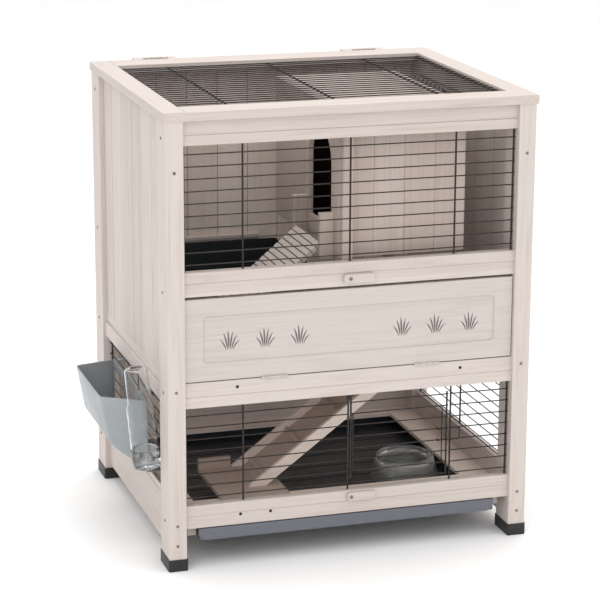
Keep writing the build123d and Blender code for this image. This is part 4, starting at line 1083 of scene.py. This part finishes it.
@dataclass
class WaterBottle:
    """The clear leaning bottle with its ribbed cap ring."""

    effects: Effects
    lean: float = 5.7
    foot_z: float = 200 * MM
    spout_radius: float = 3.6 * MM
    wall_mm: float = 1.7

    def place(self) -> Matrix:
        """Find where the bottle's axis stands, from the spout's vertical run.

        Returns:
            The foot's place, with the bottle's lean.
        """
        low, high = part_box("bottle_spout")
        foot = Vector((low.x + self.spout_radius, (low.y + high.y) / 2, self.foot_z))
        return Matrix.Translation(foot) @ Matrix.Rotation(-math.radians(self.lean), 4, "Y")

    def build(self) -> None:
        """Build the bottle and the cap."""
        place = self.place()
        clear = ClearPlastic("clear_bottle_plastic").build(self.effects)
        grey = ClearPlastic("clear_cap_plastic", (0.90, 0.92, 0.93), 0.95).build(self.effects)
        outside = [(1, 20), (24, 20), (28, 22), (28, 43), (30, 47), (30, 70), (29.2, 72), (29.2, 76),
                   (30, 78), (30, 104), (29.2, 106), (29.2, 110), (30, 112), (30, 136), (28, 141),
                   (25.4, 146), (24.8, 214), (23.5, 218), (20, 220.6), (1, 220.6)]
        inside = [(max(r - self.wall_mm, 0.6), min(max(h, 21.7), 218.9)) for r, h in reversed(outside)]
        profile = [(r * MM, h * MM) for r, h in outside + inside]
        bottle = finish_piece(lathe(profile, place, 72), "water_bottle_shell", clear)
        self.ride(bottle)
        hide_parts("water_bottle")
        ring = [(1, 0.2), (20, 0.2), (25, 1.2), (29, 4.5), (30.4, 8), (30.4, 40), (29.4, 43.5), (28.2, 43.8),
                (28.2, 19.5), (24, 18.2), (1, 18.2)]
        cap = lathe([(r * MM, h * MM) for r, h in ring], place, 144, flutes=36,
                    flute_depth=0.9 * MM, flute_span=(6 * MM, 42 * MM))
        cap_piece = finish_piece(cap, "bottle_cap_ring", grey)
        self.ride(cap_piece)
        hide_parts("bottle_cap")

    @staticmethod
    def ride(piece: bpy.types.Object) -> None:
        """Let a piece move with the bottle.

        Args:
            piece: The piece.
        """
        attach(piece, "water_bottle")


@dataclass
class FoodBowl:
    """The clear skirted bowl with upright flutes."""

    effects: Effects

    def build(self) -> None:
        """Build the bowl in its CAD place."""
        low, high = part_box("food_bowl")
        place = Matrix.Translation(((low.x + high.x) / 2, (low.y + high.y) / 2, low.z))
        clear = ClearPlastic("clear_bowl_plastic", (0.90, 0.92, 0.91), 0.9, 1.4).build(self.effects)
        skirt = [(78, 0), (78, 2.5), (76.2, 8), (73.5, 18), (70.4, 30), (67.2, 41), (65, 48), (64, 50.8),
                 (62.5, 52), (61, 51), (59.6, 44), (58, 30), (56, 16), (52, 8), (46, 5.6), (1, 5.2),
                 (1, 2.4), (46, 2.9), (53.4, 5.4), (58, 14), (60.1, 30), (62.2, 43), (64.6, 41), (67.6, 30),
                 (70.8, 18), (73.6, 8), (75.4, 2.5), (75.4, 0)]
        mesh = lathe([(r * MM, h * MM) for r, h in skirt], place, 120, flutes=12, flute_depth=1.1 * MM,
                     flute_span=(3 * MM, 49 * MM))
        bowl = finish_piece(mesh, "food_bowl_skirted", clear)
        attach(bowl, "food_bowl")
        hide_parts("food_bowl")


@dataclass
class Studio:
    """Floor, soft light and camera."""

    camera_place: Vector = field(default_factory=lambda: Vector((-1.424, -4.6955, 1.775)))
    aim: Vector = field(default_factory=lambda: Vector((0.0392, 0.0, 0.4702)))
    roll: float = 0.25
    lens: float = 136.5

    def build(self) -> None:
        """Build the whole studio."""
        self.make_floor()
        self.make_light("key_light", Vector((-2.6, -3.6, 4.2)), 3.2, 42.0)
        self.make_light("front_light", Vector((-0.7, -4.6, 1.3)), 2.6, 12.0)
        self.make_light("fill_light", Vector((3.6, -3.0, 2.6)), 3.2, 12.0)
        self.make_light("top_light", Vector((0.3, 0.6, 4.6)), 3.0, 85.0)
        self.make_world()
        self.make_camera()

    def make_floor(self) -> None:
        """Make the plain pale floor."""
        mesh = bmesh.new()
        bmesh.ops.create_grid(mesh, x_segments=2, y_segments=2, size=14.0)
        material, graph, shader, place = start_material("studio_floor")
        tone = graph.spread(graph.noise(place, 3.0), 0.3, 0.7)
        color = graph.mix(tone, (0.98, 0.98, 0.98, 1.0), (0.96, 0.96, 0.96, 1.0))
        graph.feed(shader.inputs["Base Color"], color)
        shader.inputs["Roughness"].default_value = 0.9
        floor = finish_piece(mesh, "studio_floor", material, smooth=False)

    @staticmethod
    def make_light(name: str, place: Vector, size: float, power: float) -> None:
        """Make one soft area light aimed at the hutch's middle.

        Args:
            name: Light name.
            place: Its place.
            size: Its side in metres.
            power: Its power in watts.
        """
        data = bpy.data.lights.new(name, "AREA")
        data.size = size
        data.energy = power
        light = bpy.data.objects.new(name, data)
        light.location = place
        light.rotation_mode = "QUATERNION"
        light.rotation_quaternion = (Vector((0, 0, 0.45)) - place).to_track_quat("-Z", "Y")
        bpy.context.scene.collection.objects.link(light)

    @staticmethod
    def make_world() -> None:
        """Make the white surroundings."""
        world = bpy.data.worlds.new("white_room")
        world.use_nodes = True
        background = world.node_tree.nodes["Background"]
        background.inputs["Color"].default_value = (1.0, 1.0, 1.0, 1.0)
        background.inputs["Strength"].default_value = 1.0
        bpy.context.scene.world = world

    def make_camera(self) -> None:
        """Make the camera."""
        data = bpy.data.cameras.new("hutch_camera")
        data.lens = self.lens
        data.sensor_width = 36.0
        data.clip_end = 60.0
        camera = bpy.data.objects.new("hutch_camera", data)
        camera.location = self.camera_place
        camera.rotation_mode = "QUATERNION"
        level = (self.aim - self.camera_place).to_track_quat("-Z", "Y").to_matrix()
        turn = Matrix.Rotation(math.radians(self.roll), 3, "Z")
        camera.rotation_quaternion = (level @ turn).to_quaternion()
        bpy.context.scene.collection.objects.link(camera)
        bpy.context.scene.camera = camera
        bpy.context.scene.view_settings.view_transform = "Standard"


def main() -> None:
    """Build the studio, dress the frame's nodes and build the detailed pieces."""
    logging.basicConfig(level=logging.INFO, format="%(message)s")
    effects = Effects()
    Studio().build()
    for label, step in (("woodwork", Woodwork(effects).dress), ("drop door", DropDoor(effects).dress),
                        ("metalwork", Metalwork(effects).dress), ("plastics", Plastics(effects).dress),
                        ("hay feeder", HayFeeder(effects).build),
                        ("water bottle", WaterBottle(effects).build),
                        ("food bowl", FoodBowl(effects).build)):
        step()
        LOG.info("made %s", label)


if __name__ == "__main__":
    main()
